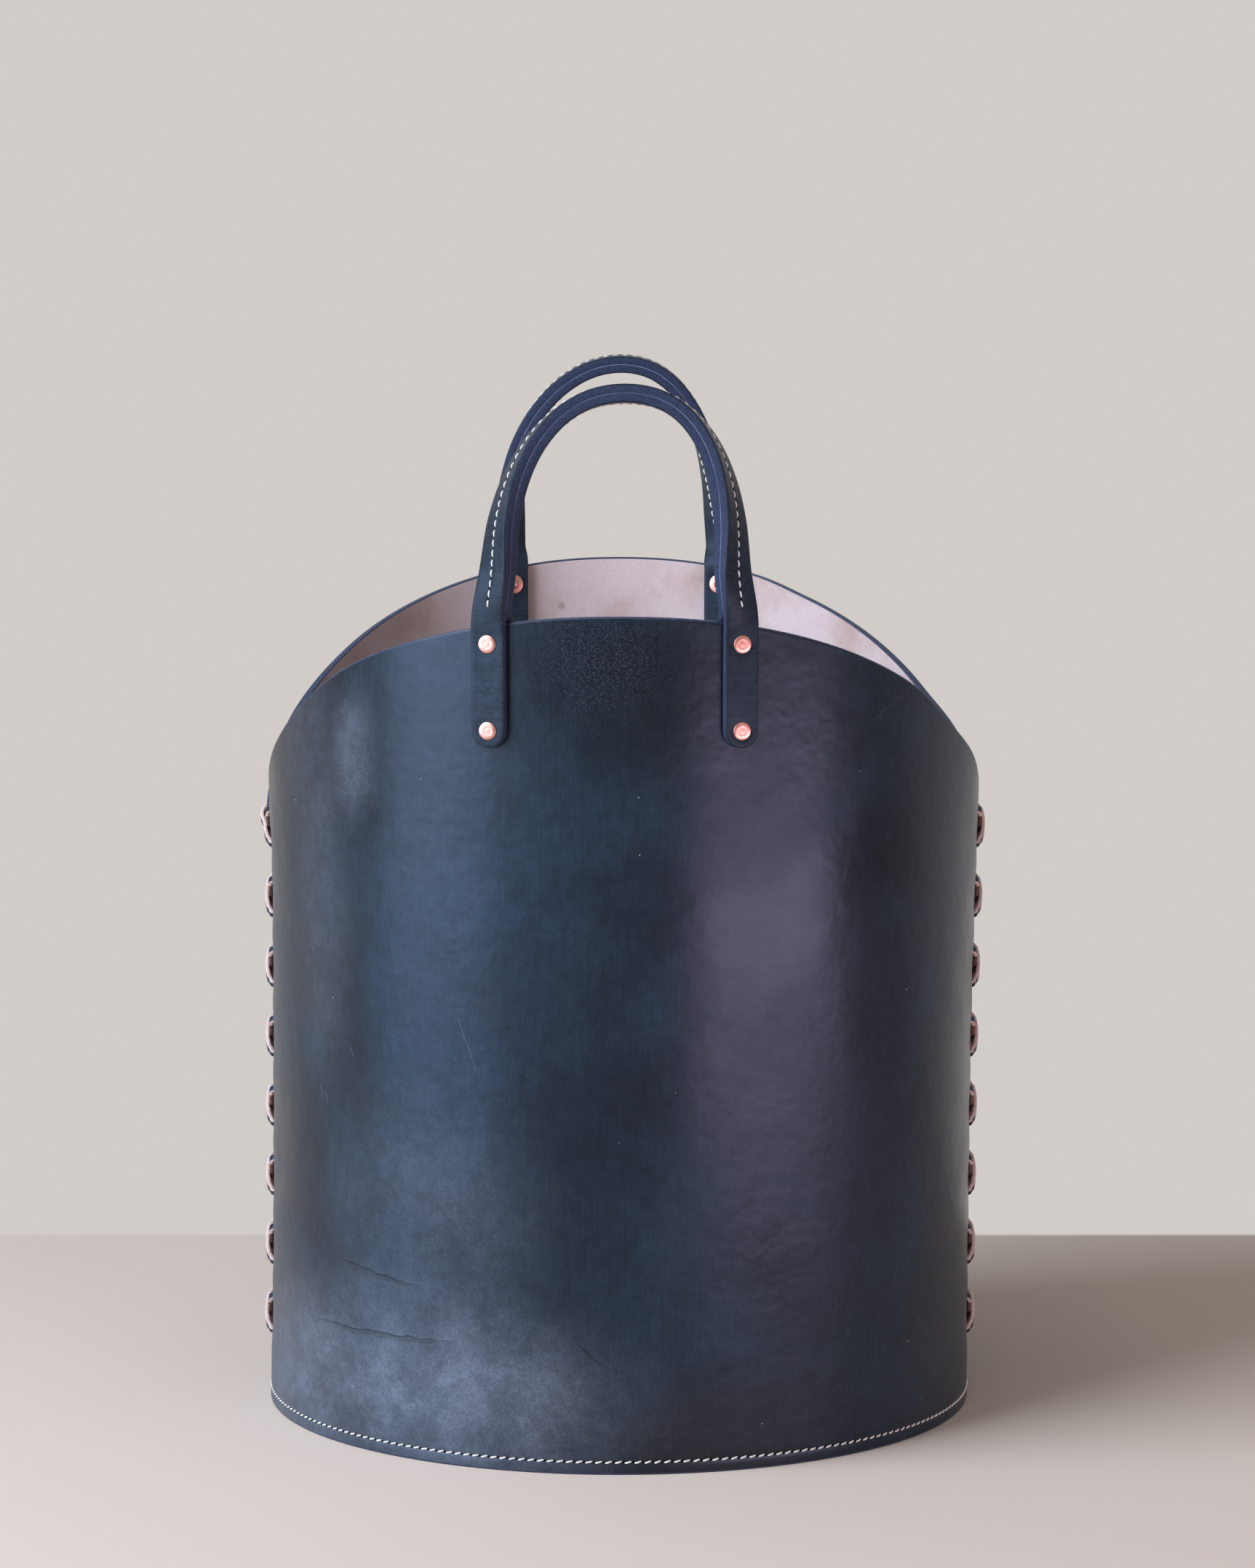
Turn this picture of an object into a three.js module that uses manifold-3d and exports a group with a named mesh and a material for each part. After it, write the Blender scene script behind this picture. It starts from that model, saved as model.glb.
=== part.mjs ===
// Leather log basket, in millimetres, +Z up, standing on z = 0 with its front towards -Y.
// Two curved leather panels meet edge to edge at the sides, where a lace zigzags through punched
// holes. A leather base with a turned-down flange is stitched inside their foot. Each handle is
// two straps of leather sewn together, which part above the rim, straddle it, and are held by
// copper rivets and washers through all three thicknesses.

import * as THREE from 'three';
import { mergeVertices } from 'three/addons/utils/BufferGeometryUtils.js';
import Module from 'manifold-3d';

const wasm = await Module();
wasm.setup();

// Fits and cuts
const fitGap = 0.3; // between pieces that touch
const punchOverrun = 3; // how far a punch runs past the leather on each side

// Wall panels
const footDiameter = 400;
const rimFlare = 3.5; // growth of the radius from the floor to the top of the rim
const wallThickness = 4.5;
const rimHeight = 464.7; // at the middle of a panel
const seamDrop = 124; // how much lower the rim is at the side seams
const rimCurvePower = 1.1; // 1 would be a straight slanting cut, more is flatter in the middle
const seamGap = 0.6; // between the butted edges of the two panels
const panelColumns = 72;

// Base
const baseThickness = 4.5;
const flangeDepth = 16; // from the floor to the upper face of the base
const flangeBend = 6; // outer radius of the moulded corner
const flangeBendSteps = 2;
const baseSegments = 60;

// Lacing
const laceWidth = 6;
const laceThickness = 2.1;
const laceThroatWidth = 4.4; // the lace curls narrower inside a hole
const laceBend = 2.6; // radius of its middle line where it turns into a hole
const laceHoleDiameter = 6.6;
const laceHoleInset = 10; // from the seam
const lowestLaceHole = 37;
const topLaceHoleDrop = 2.65; // below the rim's height at the seam
const lacePitchAim = 20; // the holes' spacing, before it is evened out over whole crosses
const laceCrossingGap = 0.45; // between two thicknesses of lace that lie on each other
const laceTailInset = 3.5; // from the seam, where an end passes beside its neighbour hole
const laceTailReach = 18.5; // from the seam to the cut end

// Handles
const strapWidth = 18.5;
const plyThickness = 4.85;
const plyChamfer = 1;
const handleSpread = 132.2; // between the middle lines of a handle's two feet
const upperRivetDrop = 15; // below the top of the rim
const rivetSpacing = 46.3;
const forkRise = 8; // height over which the two plies come together above the rim
const archSpringRise = 24; // from the fork to where the arch begins
const archDrawIn = 3.3; // how much closer to the middle the arch's side stands than its foot
const archRise = 116.8; // of the middle line, above the top of the rim
const archSetback = 13; // of the arch's plane, inwards from the foot
const archWidthPower = 2.2;
const archHeightPower = 2.3;
const twistPower = 1.85; // how early the strap turns from facing forwards to facing outwards
const frontHandleLean = 4.5; // the hand-bent front arch stands a little to the right
const backHandleLean = 0;
const tabSteps = 5;
const archKnots = 7;
const archSteps = 20;
const archStepPower = 1.4; // shorter steps near the fork, where the plies come together
const tipStepShare = 0.4; // the tab's end starts this part of a step in, with a small flat

// Rivets and washers
const rivetHeadDiameter = 10.2;
const rivetHeadThickness = 1.2;
const rivetHeadRound = 0.4;
const shankDiameter = 3.3;
const washerDiameter = 11.6;
const washerThickness = 1;
const peenDiameter = 5.2;
const peenHeight = 1.4;
const peenCrownShares = { radius: 0.7, height: 0.75 };
const roundSegments = 14;
const holeSegments = 8;

const footRadius = footDiameter / 2;
const quarterTurn = Math.PI / 2;
const laceHoleSpan = rimHeight - seamDrop - topLaceHoleDrop - lowestLaceHole;
const laceCrosses = Math.round((laceHoleSpan / lacePitchAim + 1) / 2);
const laceHolesPerEdge = 2 * laceCrosses;
const laceHolePitch = laceHoleSpan / (laceHolesPerEdge - 1);
const handleAngle = Math.asin(handleSpread / footDiameter); // of each foot round the wall
const archHalfWidth = handleSpread / 2 - archDrawIn;
const archTop = rimHeight + archRise;
const archPlane = footRadius - archSetback;
const upperRivetHeight = rimHeight - upperRivetDrop;
const spineTabEnd = upperRivetHeight - rivetSpacing - strapWidth / 2;
const rivetHeights = { upper: upperRivetHeight, lower: upperRivetHeight - rivetSpacing };

const finishes = {
  panel: { color: 0x22252f, roughness: 0.5, metalness: 0 },
  strap: { color: 0x20232c, roughness: 0.5, metalness: 0 },
  base: { color: 0xb98a72, roughness: 0.8, metalness: 0 },
  lace: { color: 0x2a2b33, roughness: 0.6, metalness: 0 },
  copper: { color: 0xc98a6e, roughness: 0.35, metalness: 1 },
};

const basket = new THREE.Group();

// Adds a named piece and returns its mesh
function place(name, geometry, finish) {
  const mesh = new THREE.Mesh(geometry, new THREE.MeshStandardMaterial(finishes[finish]));
  mesh.name = name;
  basket.add(mesh);
  return mesh;
}

// Outer radius of the wall at a height
function wallRadius(height) {
  return footRadius + rimFlare * height / rimHeight;
}

// Point at an angle round the axis, from the front towards +X
function wallPoint(angle, radius, height) {
  return new THREE.Vector3(radius * Math.sin(angle), -radius * Math.cos(angle), height);
}

// Height of the rim at an angle from the middle of its panel
function rimAt(angle) {
  return rimHeight - seamDrop * (1 - Math.cos(angle)) ** rimCurvePower;
}

// Geometry with its faces turned outwards
function closedGeometry(positions, indices) {
  const geometry = new THREE.BufferGeometry();
  geometry.setAttribute('position', new THREE.Float32BufferAttribute(positions, 3));
  geometry.setIndex(signedVolume(positions, indices) < 0 ? indices.reverse() : indices);
  return geometry;
}

// Six times the volume that the triangles enclose, negative when they face inwards
function signedVolume(positions, indices) {
  const corner = (index) => new THREE.Vector3().fromArray(positions, 3 * index);
  let volume = 0;
  for (let i = 0; i < indices.length; i += 3) {
    volume += corner(indices[i]).dot(corner(indices[i + 1]).cross(corner(indices[i + 2])));
  }
  return volume;
}

// Solid through rings of equally many points, closed by a fan at each end
function ringSolid(rings) {
  const count = rings[0].length;
  const positions = rings.flat().flatMap((point) => point.toArray());
  const indices = [];
  for (let ring = 0; ring + 1 < rings.length; ring += 1) {
    for (let k = 0; k < count; k += 1) {
      const a = ring * count + k;
      const b = ring * count + (k + 1) % count;
      indices.push(a, b, b + count, a, b + count, a + count);
    }
  }
  const last = (rings.length - 1) * count;
  for (let k = 1; k + 1 < count; k += 1) {
    indices.push(0, k + 1, k, last, last + k, last + k + 1);
  }
  return closedGeometry(positions, indices);
}

function toManifold(geometry) {
  const bare = geometry.clone();
  bare.deleteAttribute('normal');
  bare.deleteAttribute('uv');
  const merged = mergeVertices(bare);
  return new wasm.Manifold(new wasm.Mesh({
    numProp: 3,
    vertProperties: new Float32Array(merged.attributes.position.array),
    triVerts: new Uint32Array(merged.index.array),
  }));
}

function fromManifold(solid) {
  const mesh = solid.getMesh();
  const geometry = new THREE.BufferGeometry();
  geometry.setAttribute('position', new THREE.Float32BufferAttribute(mesh.vertProperties, 3));
  geometry.setIndex(Array.from(mesh.triVerts));
  return geometry;
}

// The geometry with every punch taken out of it
function punched(geometry, punches) {
  let solid = toManifold(geometry);
  for (const punch of punches) {
    solid = solid.subtract(toManifold(punch));
  }
  return fromManifold(solid);
}

// Cylinder square to the wall, through the leather and anything riveted to it
function punch(angle, height, diameter) {
  const length = 2 * (wallThickness + plyThickness + punchOverrun);
  const geometry = new THREE.CylinderGeometry(diameter / 2, diameter / 2, length, holeSegments);
  geometry.rotateZ(angle);
  const middle = wallPoint(angle, wallRadius(height) - wallThickness / 2, height);
  return geometry.translate(middle.x, middle.y, middle.z);
}

function laceHoleHeight(index) {
  return lowestLaceHole + index * laceHolePitch;
}

function rivetPunches() {
  const diameter = shankDiameter + 2 * fitGap;
  return Object.values(rivetHeights).flatMap((height) => [
    punch(handleAngle, height, diameter),
    punch(-handleAngle, height, diameter),
  ]);
}

// A panel: half a ring of wall under the curved rim, from seam to seam
function panelGeometry() {
  const rings = [];
  for (let column = 0; column <= panelColumns; column += 1) {
    const share = 2 * column / panelColumns - 1;
    const angle = share * (quarterTurn - seamGap / 2 / footRadius);
    const rim = rimAt(angle);
    rings.push([
      wallPoint(angle, wallRadius(0), 0),
      wallPoint(angle, wallRadius(rim), rim),
      wallPoint(angle, wallRadius(rim) - wallThickness, rim),
      wallPoint(angle, wallRadius(0) - wallThickness, 0),
    ]);
  }
  const lacePunches = [];
  for (let hole = 0; hole < laceHolesPerEdge; hole += 1) {
    const height = laceHoleHeight(hole);
    const angle = quarterTurn - laceHoleInset / wallRadius(height);
    lacePunches.push(punch(angle, height, laceHoleDiameter));
    lacePunches.push(punch(-angle, height, laceHoleDiameter));
  }
  return punched(ringSolid(rings), [...lacePunches, ...rivetPunches()]);
}

// The base: a disc whose edge is moulded down into a flange that stands on the floor
function baseGeometry() {
  const outer = footRadius - wallThickness - fitGap;
  const bendAxis = outer - flangeBend;
  const bendHeight = flangeDepth - flangeBend;
  const arc = (radius, step) => {
    const turn = quarterTurn * step / flangeBendSteps;
    return new THREE.Vector2(bendAxis + radius * Math.sin(turn), bendHeight + radius * Math.cos(turn));
  };
  const outline = [new THREE.Vector2(0, flangeDepth)];
  for (let step = 0; step <= flangeBendSteps; step += 1) {
    outline.push(arc(flangeBend, step));
  }
  outline.push(new THREE.Vector2(outer, 0), new THREE.Vector2(outer - baseThickness, 0));
  for (let step = flangeBendSteps; step >= 0; step -= 1) {
    outline.push(arc(flangeBend - baseThickness, step));
  }
  outline.push(new THREE.Vector2(0, flangeDepth - baseThickness));
  return new THREE.LatheGeometry(outline.reverse(), baseSegments).rotateX(quarterTurn);
}

// Middle line of half a handle, from the tab's end to the top of the arch, on the +X side
function handleKnots(forkHeight) {
  const middleRadius = (height) => wallRadius(height) - wallThickness / 2;
  const onWall = (height) => wallPoint(handleAngle, middleRadius(height), height);
  const knots = [onWall(spineTabEnd), onWall(forkHeight - strapWidth / 2), onWall(forkHeight)];
  const spring = forkHeight + archSpringRise;
  for (let step = 0; step < archKnots; step += 1) {
    const turn = quarterTurn * step / (archKnots - 1);
    const across = archHalfWidth * Math.max(0, Math.cos(turn)) ** (2 / archWidthPower);
    const up = (archTop - spring) * Math.sin(turn) ** (2 / archHeightPower);
    knots.push(new THREE.Vector3(across, -archPlane, spring + up));
  }
  return knots;
}

// Stations of half a handle: point, outward direction of the strap, width share and fork share
function halfHandle() {
  const tabRadius = strapWidth / 2;
  const innerEdgeAngle = handleAngle - tabRadius / footRadius;
  const forkHeight = rimAt(innerEdgeAngle) + fitGap;
  const curve = new THREE.CatmullRomCurve3(handleKnots(forkHeight), false, 'centripetal');
  curve.arcLengthDivisions = 2000;
  const length = curve.getLength();
  const tabLength = forkHeight - spineTabEnd;
  const stations = [];
  const addStation = (distance, widthShare) => {
    const along = Math.min(1, distance / length);
    const point = curve.getPointAt(along);
    const tangent = curve.getTangentAt(along);
    const archShare = Math.max(0, (distance - tabLength) / (length - tabLength));
    const turn = quarterTurn - (quarterTurn - handleAngle) * (1 - archShare) ** twistPower;
    const across = new THREE.Vector3(tangent.z, 0, -tangent.x).normalize();
    const normal = across.multiplyScalar(Math.sin(turn));
    normal.y = -Math.cos(turn);
    normal.addScaledVector(tangent, -normal.dot(tangent)).normalize();
    const forkShare = THREE.MathUtils.smoothstep(point.z, forkHeight, forkHeight + forkRise);
    stations.push({ point, normal, widthShare, forkShare });
  };
  for (let step = 0; step < tabSteps; step += 1) {
    const turn = quarterTurn * (step + tipStepShare) / (tabSteps - 1 + tipStepShare);
    addStation(tabRadius * (1 - Math.cos(turn)), Math.sin(turn));
  }
  for (let step = 1; step <= tabSteps; step += 1) {
    addStation(tabRadius + (tabLength - tabRadius) * step / tabSteps, 1);
  }
  for (let step = 1; step <= archSteps; step += 1) {
    const share = (step / archSteps) ** archStepPower;
    addStation(tabLength + (length - tabLength) * share, 1);
  }
  return stations;
}

// One ply of a handle: side is +1 for the outer ply and -1 for the inner one
function plyGeometry(side, lean) {
  const half = halfHandle();
  const mirror = (vector) => new THREE.Vector3(-vector.x, vector.y, vector.z);
  const mirrored = half.slice(0, -1).map((station) => ({
    ...station,
    point: mirror(station.point),
    normal: mirror(station.normal),
  }));
  const stations = [...mirrored, ...half.reverse()];
  for (const station of stations) {
    const risen = Math.max(0, station.point.z - rimHeight) / archRise;
    station.point.x += lean * risen;
  }
  const sewn = (plyThickness + fitGap) / 2;
  const straddling = (wallThickness + plyThickness) / 2 + fitGap + (side < 0 ? tabSagitta() : 0);
  const rings = stations.map((station, index) => {
    const before = stations[Math.max(0, index - 1)].point;
    const after = stations[Math.min(stations.length - 1, index + 1)].point;
    const tangent = after.clone().sub(before).normalize();
    const width = tangent.cross(station.normal).normalize();
    const offset = side * THREE.MathUtils.lerp(straddling, sewn, station.forkShare);
    const middle = station.point.clone().addScaledVector(station.normal, offset);
    return plySection(station.widthShare).map(([across, up]) => middle.clone()
      .addScaledVector(width, across)
      .addScaledVector(station.normal, side * up));
  });
  return punched(ringSolid(rings), rivetPunches());
}

// How far the wall's hollow side stands proud of a flat strap across it
function tabSagitta() {
  return strapWidth ** 2 / (8 * (footRadius - wallThickness));
}

// Section of a ply, its two outer arrises chamfered
function plySection(widthShare) {
  const half = strapWidth / 2 * widthShare;
  const chamfer = Math.min(plyChamfer, half / 2);
  const face = plyThickness / 2;
  return [
    [-half, -face],
    [half, -face],
    [half, face - chamfer],
    [half - chamfer, face],
    [-half + chamfer, face],
    [-half, face - chamfer],
  ];
}

// Rivet along +Y from the middle of the wall: flat head outside, peened dome inside
function rivetGeometry() {
  const headBase = wallThickness / 2 + plyThickness + 2 * fitGap;
  const washerBase = headBase + tabSagitta();
  const peenBase = -(washerBase + washerThickness + fitGap);
  const headRadius = rivetHeadDiameter / 2;
  const peenRadius = peenDiameter / 2;
  const outline = [
    [0, peenBase - peenHeight],
    [peenRadius * peenCrownShares.radius, peenBase - peenHeight * peenCrownShares.height],
    [peenRadius, peenBase],
    [shankDiameter / 2, peenBase],
    [shankDiameter / 2, headBase],
    [headRadius, headBase],
    [headRadius, headBase + rivetHeadThickness - rivetHeadRound],
    [headRadius - rivetHeadRound, headBase + rivetHeadThickness],
    [0, headBase + rivetHeadThickness],
  ];
  return new THREE.LatheGeometry(outline.map((point) => new THREE.Vector2(...point)), roundSegments);
}

// Washer over the rivet's inner end, its rim a little rounded
function washerGeometry() {
  const near = -(wallThickness / 2 + plyThickness + 2 * fitGap + tabSagitta());
  const far = near - washerThickness;
  const bore = shankDiameter / 2 + fitGap;
  const rim = washerDiameter / 2;
  const round = washerThickness / 3;
  const outline = [
    [bore, near],
    [bore, far],
    [rim - round, far],
    [rim, far + round],
    [rim, near],
    [bore, near],
  ];
  return new THREE.LatheGeometry(outline.map((point) => new THREE.Vector2(...point)), roundSegments);
}

// A lace is laid as stops beside its seam. Each has its place across the seam (below 0 on the
// front panel), its height, its rise over the wall's outer face, its width, and the direction of
// its width in the plane of the wall, as an angle from across.
const laceLevels = {
  outside: fitGap + laceThickness / 2,
  over: fitGap + laceThickness + laceCrossingGap + laceThickness / 2,
  inside: -wallThickness - fitGap - laceThickness / 2,
  bridge: -wallThickness - fitGap - laceThickness - laceCrossingGap - laceThickness / 2,
};
const bendSteps = 2;
const bendExitWidth = (laceWidth + laceThroatWidth) / 2;

// Stops of the bend between a run along the wall and the axis of a hole, from the run inwards
function laceBendStops(hole, direction, level, turn) {
  const inward = level > 0 ? -1 : 1;
  const stops = [];
  for (let step = 0; step <= bendSteps; step += 1) {
    const angle = quarterTurn * step / bendSteps;
    const distance = laceBend * (1 - Math.sin(angle));
    stops.push({
      across: hole.across + distance * Math.cos(direction),
      height: hole.height + distance * Math.sin(direction),
      rise: level + inward * laceBend * (1 - Math.cos(angle)),
      width: step === 0 ? bendExitWidth : laceThroatWidth,
      turn,
    });
  }
  return stops;
}

// One strand outside, from a hole to the one above it on the other panel
function crossStops(from, to, over) {
  const rise = to.height - from.height;
  const run = to.across - from.across;
  const turn = Math.atan2(rise, run) + quarterTurn;
  const places = over ? overShares : underShares;
  return places.map(([share, lift]) => ({
    across: (from.across + to.across) / 2 + run * share,
    height: (from.height + to.height) / 2 + rise * share,
    rise: THREE.MathUtils.lerp(laceLevels.outside, laceLevels.over, lift),
    width: laceWidth,
    turn,
  }));
}

// Places along a crossing strand, as shares of its length from the middle, and its lift there
const overShares = [
  [-0.35, 0.05],
  [-0.24, 0.5],
  [-0.13, 0.97],
  [0, 1],
  [0.13, 0.97],
  [0.24, 0.5],
  [0.35, 0.05],
];
const underShares = [
  [-0.35, 0],
  [0, 0],
  [0.35, 0],
];

// Places along a run inside, as shares of its length, where the lace is at its full width
const runShares = [0.25, 0.75];

// Half of a lace, from the middle of its lowest inside run to its end on the back panel. Where
// frontHalf is set it is the other half, as it will lie once its places are mirrored.
function halfLaceStops(frontHalf) {
  const down = -quarterTurn;
  const stops = [{
    across: 0,
    height: laceHoleHeight(0),
    rise: laceLevels.inside,
    width: laceWidth,
    turn: down,
  }];
  let hole = { across: laceHoleInset, height: laceHoleHeight(0) };
  stops.push(...laceBendStops(hole, Math.PI, laceLevels.inside, down));
  for (let index = 0; index + 1 < laceHolesPerEdge; index += 2) {
    const next = { across: -hole.across, height: laceHoleHeight(index + 1) };
    const climb = Math.atan2(next.height - hole.height, next.across - hole.across);
    const turn = climb + quarterTurn;
    stops.push(...laceBendStops(hole, climb, laceLevels.outside, turn).reverse());
    stops.push(...crossStops(hole, next, frontHalf ? hole.across > 0 : hole.across < 0));
    stops.push(...laceBendStops(next, climb + Math.PI, laceLevels.outside, turn));
    hole = next;
    if (index + 2 < laceHolesPerEdge) {
      const bridged = index + 4 > laceHolesPerEdge - 1;
      const level = bridged ? laceLevels.bridge : laceLevels.inside;
      const above = { across: hole.across, height: laceHoleHeight(index + 2) };
      stops.push(...laceBendStops(hole, quarterTurn, level, Math.PI).reverse());
      for (const share of runShares) {
        stops.push({
          across: hole.across,
          height: THREE.MathUtils.lerp(hole.height, above.height, share),
          rise: level,
          width: laceWidth,
          turn: Math.PI,
        });
      }
      stops.push(...laceBendStops(above, -quarterTurn, level, Math.PI));
      hole = above;
    }
  }
  stops.push(...tailStops(hole));
  return stops;
}

// Heights along an end of the lace: the first is a share of the hole pitch, the rest of its width
const tailShares = { reachesSeam: 0.62, leavesSeam: 0.9, end: 1.1 };

// An end of the lace: down beside the next hole, then slanting under the bridged run
function tailStops(hole) {
  const sign = Math.sign(hole.across);
  const top = hole.height;
  const bridgeMiddle = top - laceHolePitch - laceHolePitch / 2;
  const places = [
    [laceTailInset, top - laceHolePitch * tailShares.reachesSeam],
    [laceTailInset, top - laceHolePitch],
    [laceTailInset + laceThickness / 2, bridgeMiddle + laceWidth * tailShares.leavesSeam],
    [laceHoleInset, bridgeMiddle],
    [laceTailReach, bridgeMiddle - laceWidth * tailShares.end],
  ].map(([across, height]) => ({ across: sign * across, height }));
  const heading = Math.atan2(places[0].height - top, places[0].across - hole.across);
  const stops = laceBendStops(hole, heading, laceLevels.inside, heading - quarterTurn).reverse();
  places.forEach((place, index) => {
    const before = index ? places[index - 1] : hole;
    const after = places[Math.min(places.length - 1, index + 1)];
    const direction = Math.atan2(after.height - before.height, after.across - before.across);
    stops.push({
      ...place,
      rise: laceLevels.inside,
      width: laceWidth,
      turn: direction - quarterTurn,
    });
  });
  return stops;
}

// A whole lace at the right (side +1) or left (side -1) seam, as frames in space
function laceFrames(side) {
  const half = halfLaceStops(false);
  const mirrored = halfLaceStops(true).slice(1).reverse().map((stop) => ({
    ...stop,
    across: -stop.across,
    turn: -stop.turn + Math.PI,
  }));
  return [...mirrored, ...half].map((stop) => {
    const radius = wallRadius(stop.height);
    const angle = side * (quarterTurn + stop.across / radius);
    const acrossway = new THREE.Vector3(Math.cos(angle), Math.sin(angle), 0).multiplyScalar(side);
    return {
      point: wallPoint(angle, radius + stop.rise, stop.height),
      across: acrossway.multiplyScalar(Math.cos(stop.turn)).setZ(Math.sin(stop.turn)),
      width: stop.width,
    };
  });
}

// Four corners of the lace at each frame
function laceRings(frames) {
  return frames.map((frame, index) => {
    const before = frames[Math.max(0, index - 1)].point;
    const after = frames[Math.min(frames.length - 1, index + 1)].point;
    const tangent = after.clone().sub(before).normalize();
    const face = tangent.clone().cross(frame.across).normalize();
    const across = face.clone().cross(tangent);
    const half = frame.width / 2;
    return [[-1, -1], [1, -1], [1, 1], [-1, 1]].map(([u, v]) => frame.point.clone()
      .addScaledVector(across, u * half)
      .addScaledVector(face, v * laceThickness / 2));
  });
}

// Least distance between stretches of a lace that lie on or beside each other, on points
function leastLaceGap(rings) {
  const samples = [];
  let travelled = 0;
  const middle = (ring) => ring[0].clone().add(ring[2]).multiplyScalar(1 / 2);
  for (let index = 0; index + 1 < rings.length; index += 1) {
    const step = middle(rings[index]).distanceTo(middle(rings[index + 1]));
    for (const along of sampleShares) {
      for (const across of sampleShares) {
        for (const [a, b] of [[0, 1], [3, 2]]) {
          const near = rings[index][a].clone().lerp(rings[index][b], across);
          const far = rings[index + 1][a].clone().lerp(rings[index + 1][b], across);
          samples.push({ point: near.lerp(far, along), travelled: travelled + step * along });
        }
      }
    }
    travelled += step;
  }
  let least = Infinity;
  for (let i = 0; i < samples.length; i += 1) {
    for (let j = i + 1; j < samples.length; j += 1) {
      if (samples[j].travelled - samples[i].travelled > 2 * laceWidth) {
        least = Math.min(least, samples[i].point.distanceToSquared(samples[j].point));
      }
    }
  }
  return Math.sqrt(least);
}

const sampleShares = [0, 0.25, 0.5, 0.75, 1];

// The front and back are the same, half a turn apart
const halves = { front: 0, back: Math.PI };
const leans = { front: frontHandleLean, back: backHandleLean };

for (const [half, turn] of Object.entries(halves)) {
  place(`${half}_panel`, panelGeometry(), 'panel').rotation.z = turn;
  place(`${half}_handle_outer_ply`, plyGeometry(1, leans[half]), 'strap').rotation.z = turn;
  place(`${half}_handle_inner_ply`, plyGeometry(-1, leans[half]), 'strap').rotation.z = turn;
}

place('base', baseGeometry(), 'base');

const sides = { left: -1, right: 1 };

for (const [name, side] of Object.entries(sides)) {
  const rings = laceRings(laceFrames(side));
  place(`${name}_lace`, ringSolid(rings), 'lace');
  console.log(`${name} lace: least gap to itself ${leastLaceGap(rings).toFixed(2)} mm`);
}

// Rivets and washers, four to a handle
for (const [half, turn] of Object.entries(halves)) {
  for (const [sideName, side] of Object.entries(sides)) {
    for (const [level, height] of Object.entries(rivetHeights)) {
      const angle = turn ? Math.PI - side * handleAngle : side * handleAngle;
      const middle = wallPoint(angle, wallRadius(height) - wallThickness / 2, height);
      const where = `${half}_${sideName}_${level}`;
      for (const [kind, geometry] of [['rivet', rivetGeometry()], ['washer', washerGeometry()]]) {
        const mesh = place(`${kind}_${where}`, geometry, 'copper');
        mesh.position.copy(middle);
        mesh.rotation.z = angle + Math.PI;
      }
    }
  }
}

export default basket;
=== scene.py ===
"""Looks of a hand-made leather log basket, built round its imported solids.

Everything is in metres, in the frame of the solids: +Z up, the front towards -Y, the foot on z = 0.
Angles round the wall are measured from the front towards +X.
"""

import logging
import math
from dataclasses import astuple, dataclass, replace
from enum import Enum
from itertools import product

import bmesh
import bpy
import numpy as np
from mathutils import Matrix, Vector

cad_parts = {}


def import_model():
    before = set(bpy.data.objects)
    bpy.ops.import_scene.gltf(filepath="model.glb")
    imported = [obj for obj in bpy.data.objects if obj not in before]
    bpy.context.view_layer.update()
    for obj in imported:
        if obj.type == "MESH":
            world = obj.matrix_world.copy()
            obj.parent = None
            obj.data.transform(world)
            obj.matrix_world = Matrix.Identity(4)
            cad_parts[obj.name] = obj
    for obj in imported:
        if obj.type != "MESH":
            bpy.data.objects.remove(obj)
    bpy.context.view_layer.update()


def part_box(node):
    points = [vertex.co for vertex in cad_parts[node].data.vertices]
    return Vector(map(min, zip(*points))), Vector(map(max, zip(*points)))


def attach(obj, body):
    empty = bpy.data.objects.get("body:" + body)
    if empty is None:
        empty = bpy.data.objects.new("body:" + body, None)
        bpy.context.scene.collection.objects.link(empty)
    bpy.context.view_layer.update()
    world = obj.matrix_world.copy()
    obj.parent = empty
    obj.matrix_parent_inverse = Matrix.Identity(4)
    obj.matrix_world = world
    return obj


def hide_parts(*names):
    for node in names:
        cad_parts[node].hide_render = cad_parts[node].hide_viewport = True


LOG = logging.getLogger("log_basket")
MM = 0.001
QUARTER = math.pi / 2
UP = (0.0, 0.0, 1.0)
LEVEL = np.array([1.0, 1.0, 0.0])
MIRROR = np.array([-1.0, 1.0, 1.0])
CRISP_LEATHER = math.radians(38)
CRISP_SMALL_PART = math.radians(50)
BODY = "root"

Socket = bpy.types.NodeSocket
Material = bpy.types.Material
Mesh = bpy.types.Mesh
Object = bpy.types.Object
Numbers = np.ndarray | float
Sides = tuple[Material, Material, Material]  # Of a piece's grain side, cut edges and flesh side.


class Named(Enum):
    """A choice whose name is part of the names of pieces."""

    @property
    def label(self) -> str:
        """Name as used for the pieces."""
        return self.name.lower()


class Half(Named):
    """A half of the basket, with the angle of its middle."""

    FRONT = 0.0
    BACK = math.pi


class Side(Named):
    """A side seam or a foot of a handle, with its sign along X."""

    LEFT = -1
    RIGHT = 1


class Ply(Named):
    """A strap of a handle, with its sign along the outward direction."""

    OUTER = 1
    INNER = -1


def linear(colour: str) -> tuple[float, float, float, float]:
    """Turns an sRGB colour into the linear values that a shader takes.

    Args:
        colour: Hex value such as "#22262f".

    Returns:
        Linear red, green, blue and an alpha of 1.
    """
    parts = [int(colour[i:i + 2], 16) / 255 for i in (1, 3, 5)]
    curve = [c / 12.92 if c <= 0.04045 else ((c + 0.055) / 1.055) ** 2.4 for c in parts]
    return (*curve, 1.0)


def smooth(value: Numbers, low: float, high: float) -> np.ndarray:
    """Smooth step from 0 at low to 1 at high."""
    share = np.clip((np.asarray(value, float) - low) / (high - low), 0, 1)
    return share * share * (3 - 2 * share)


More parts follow.
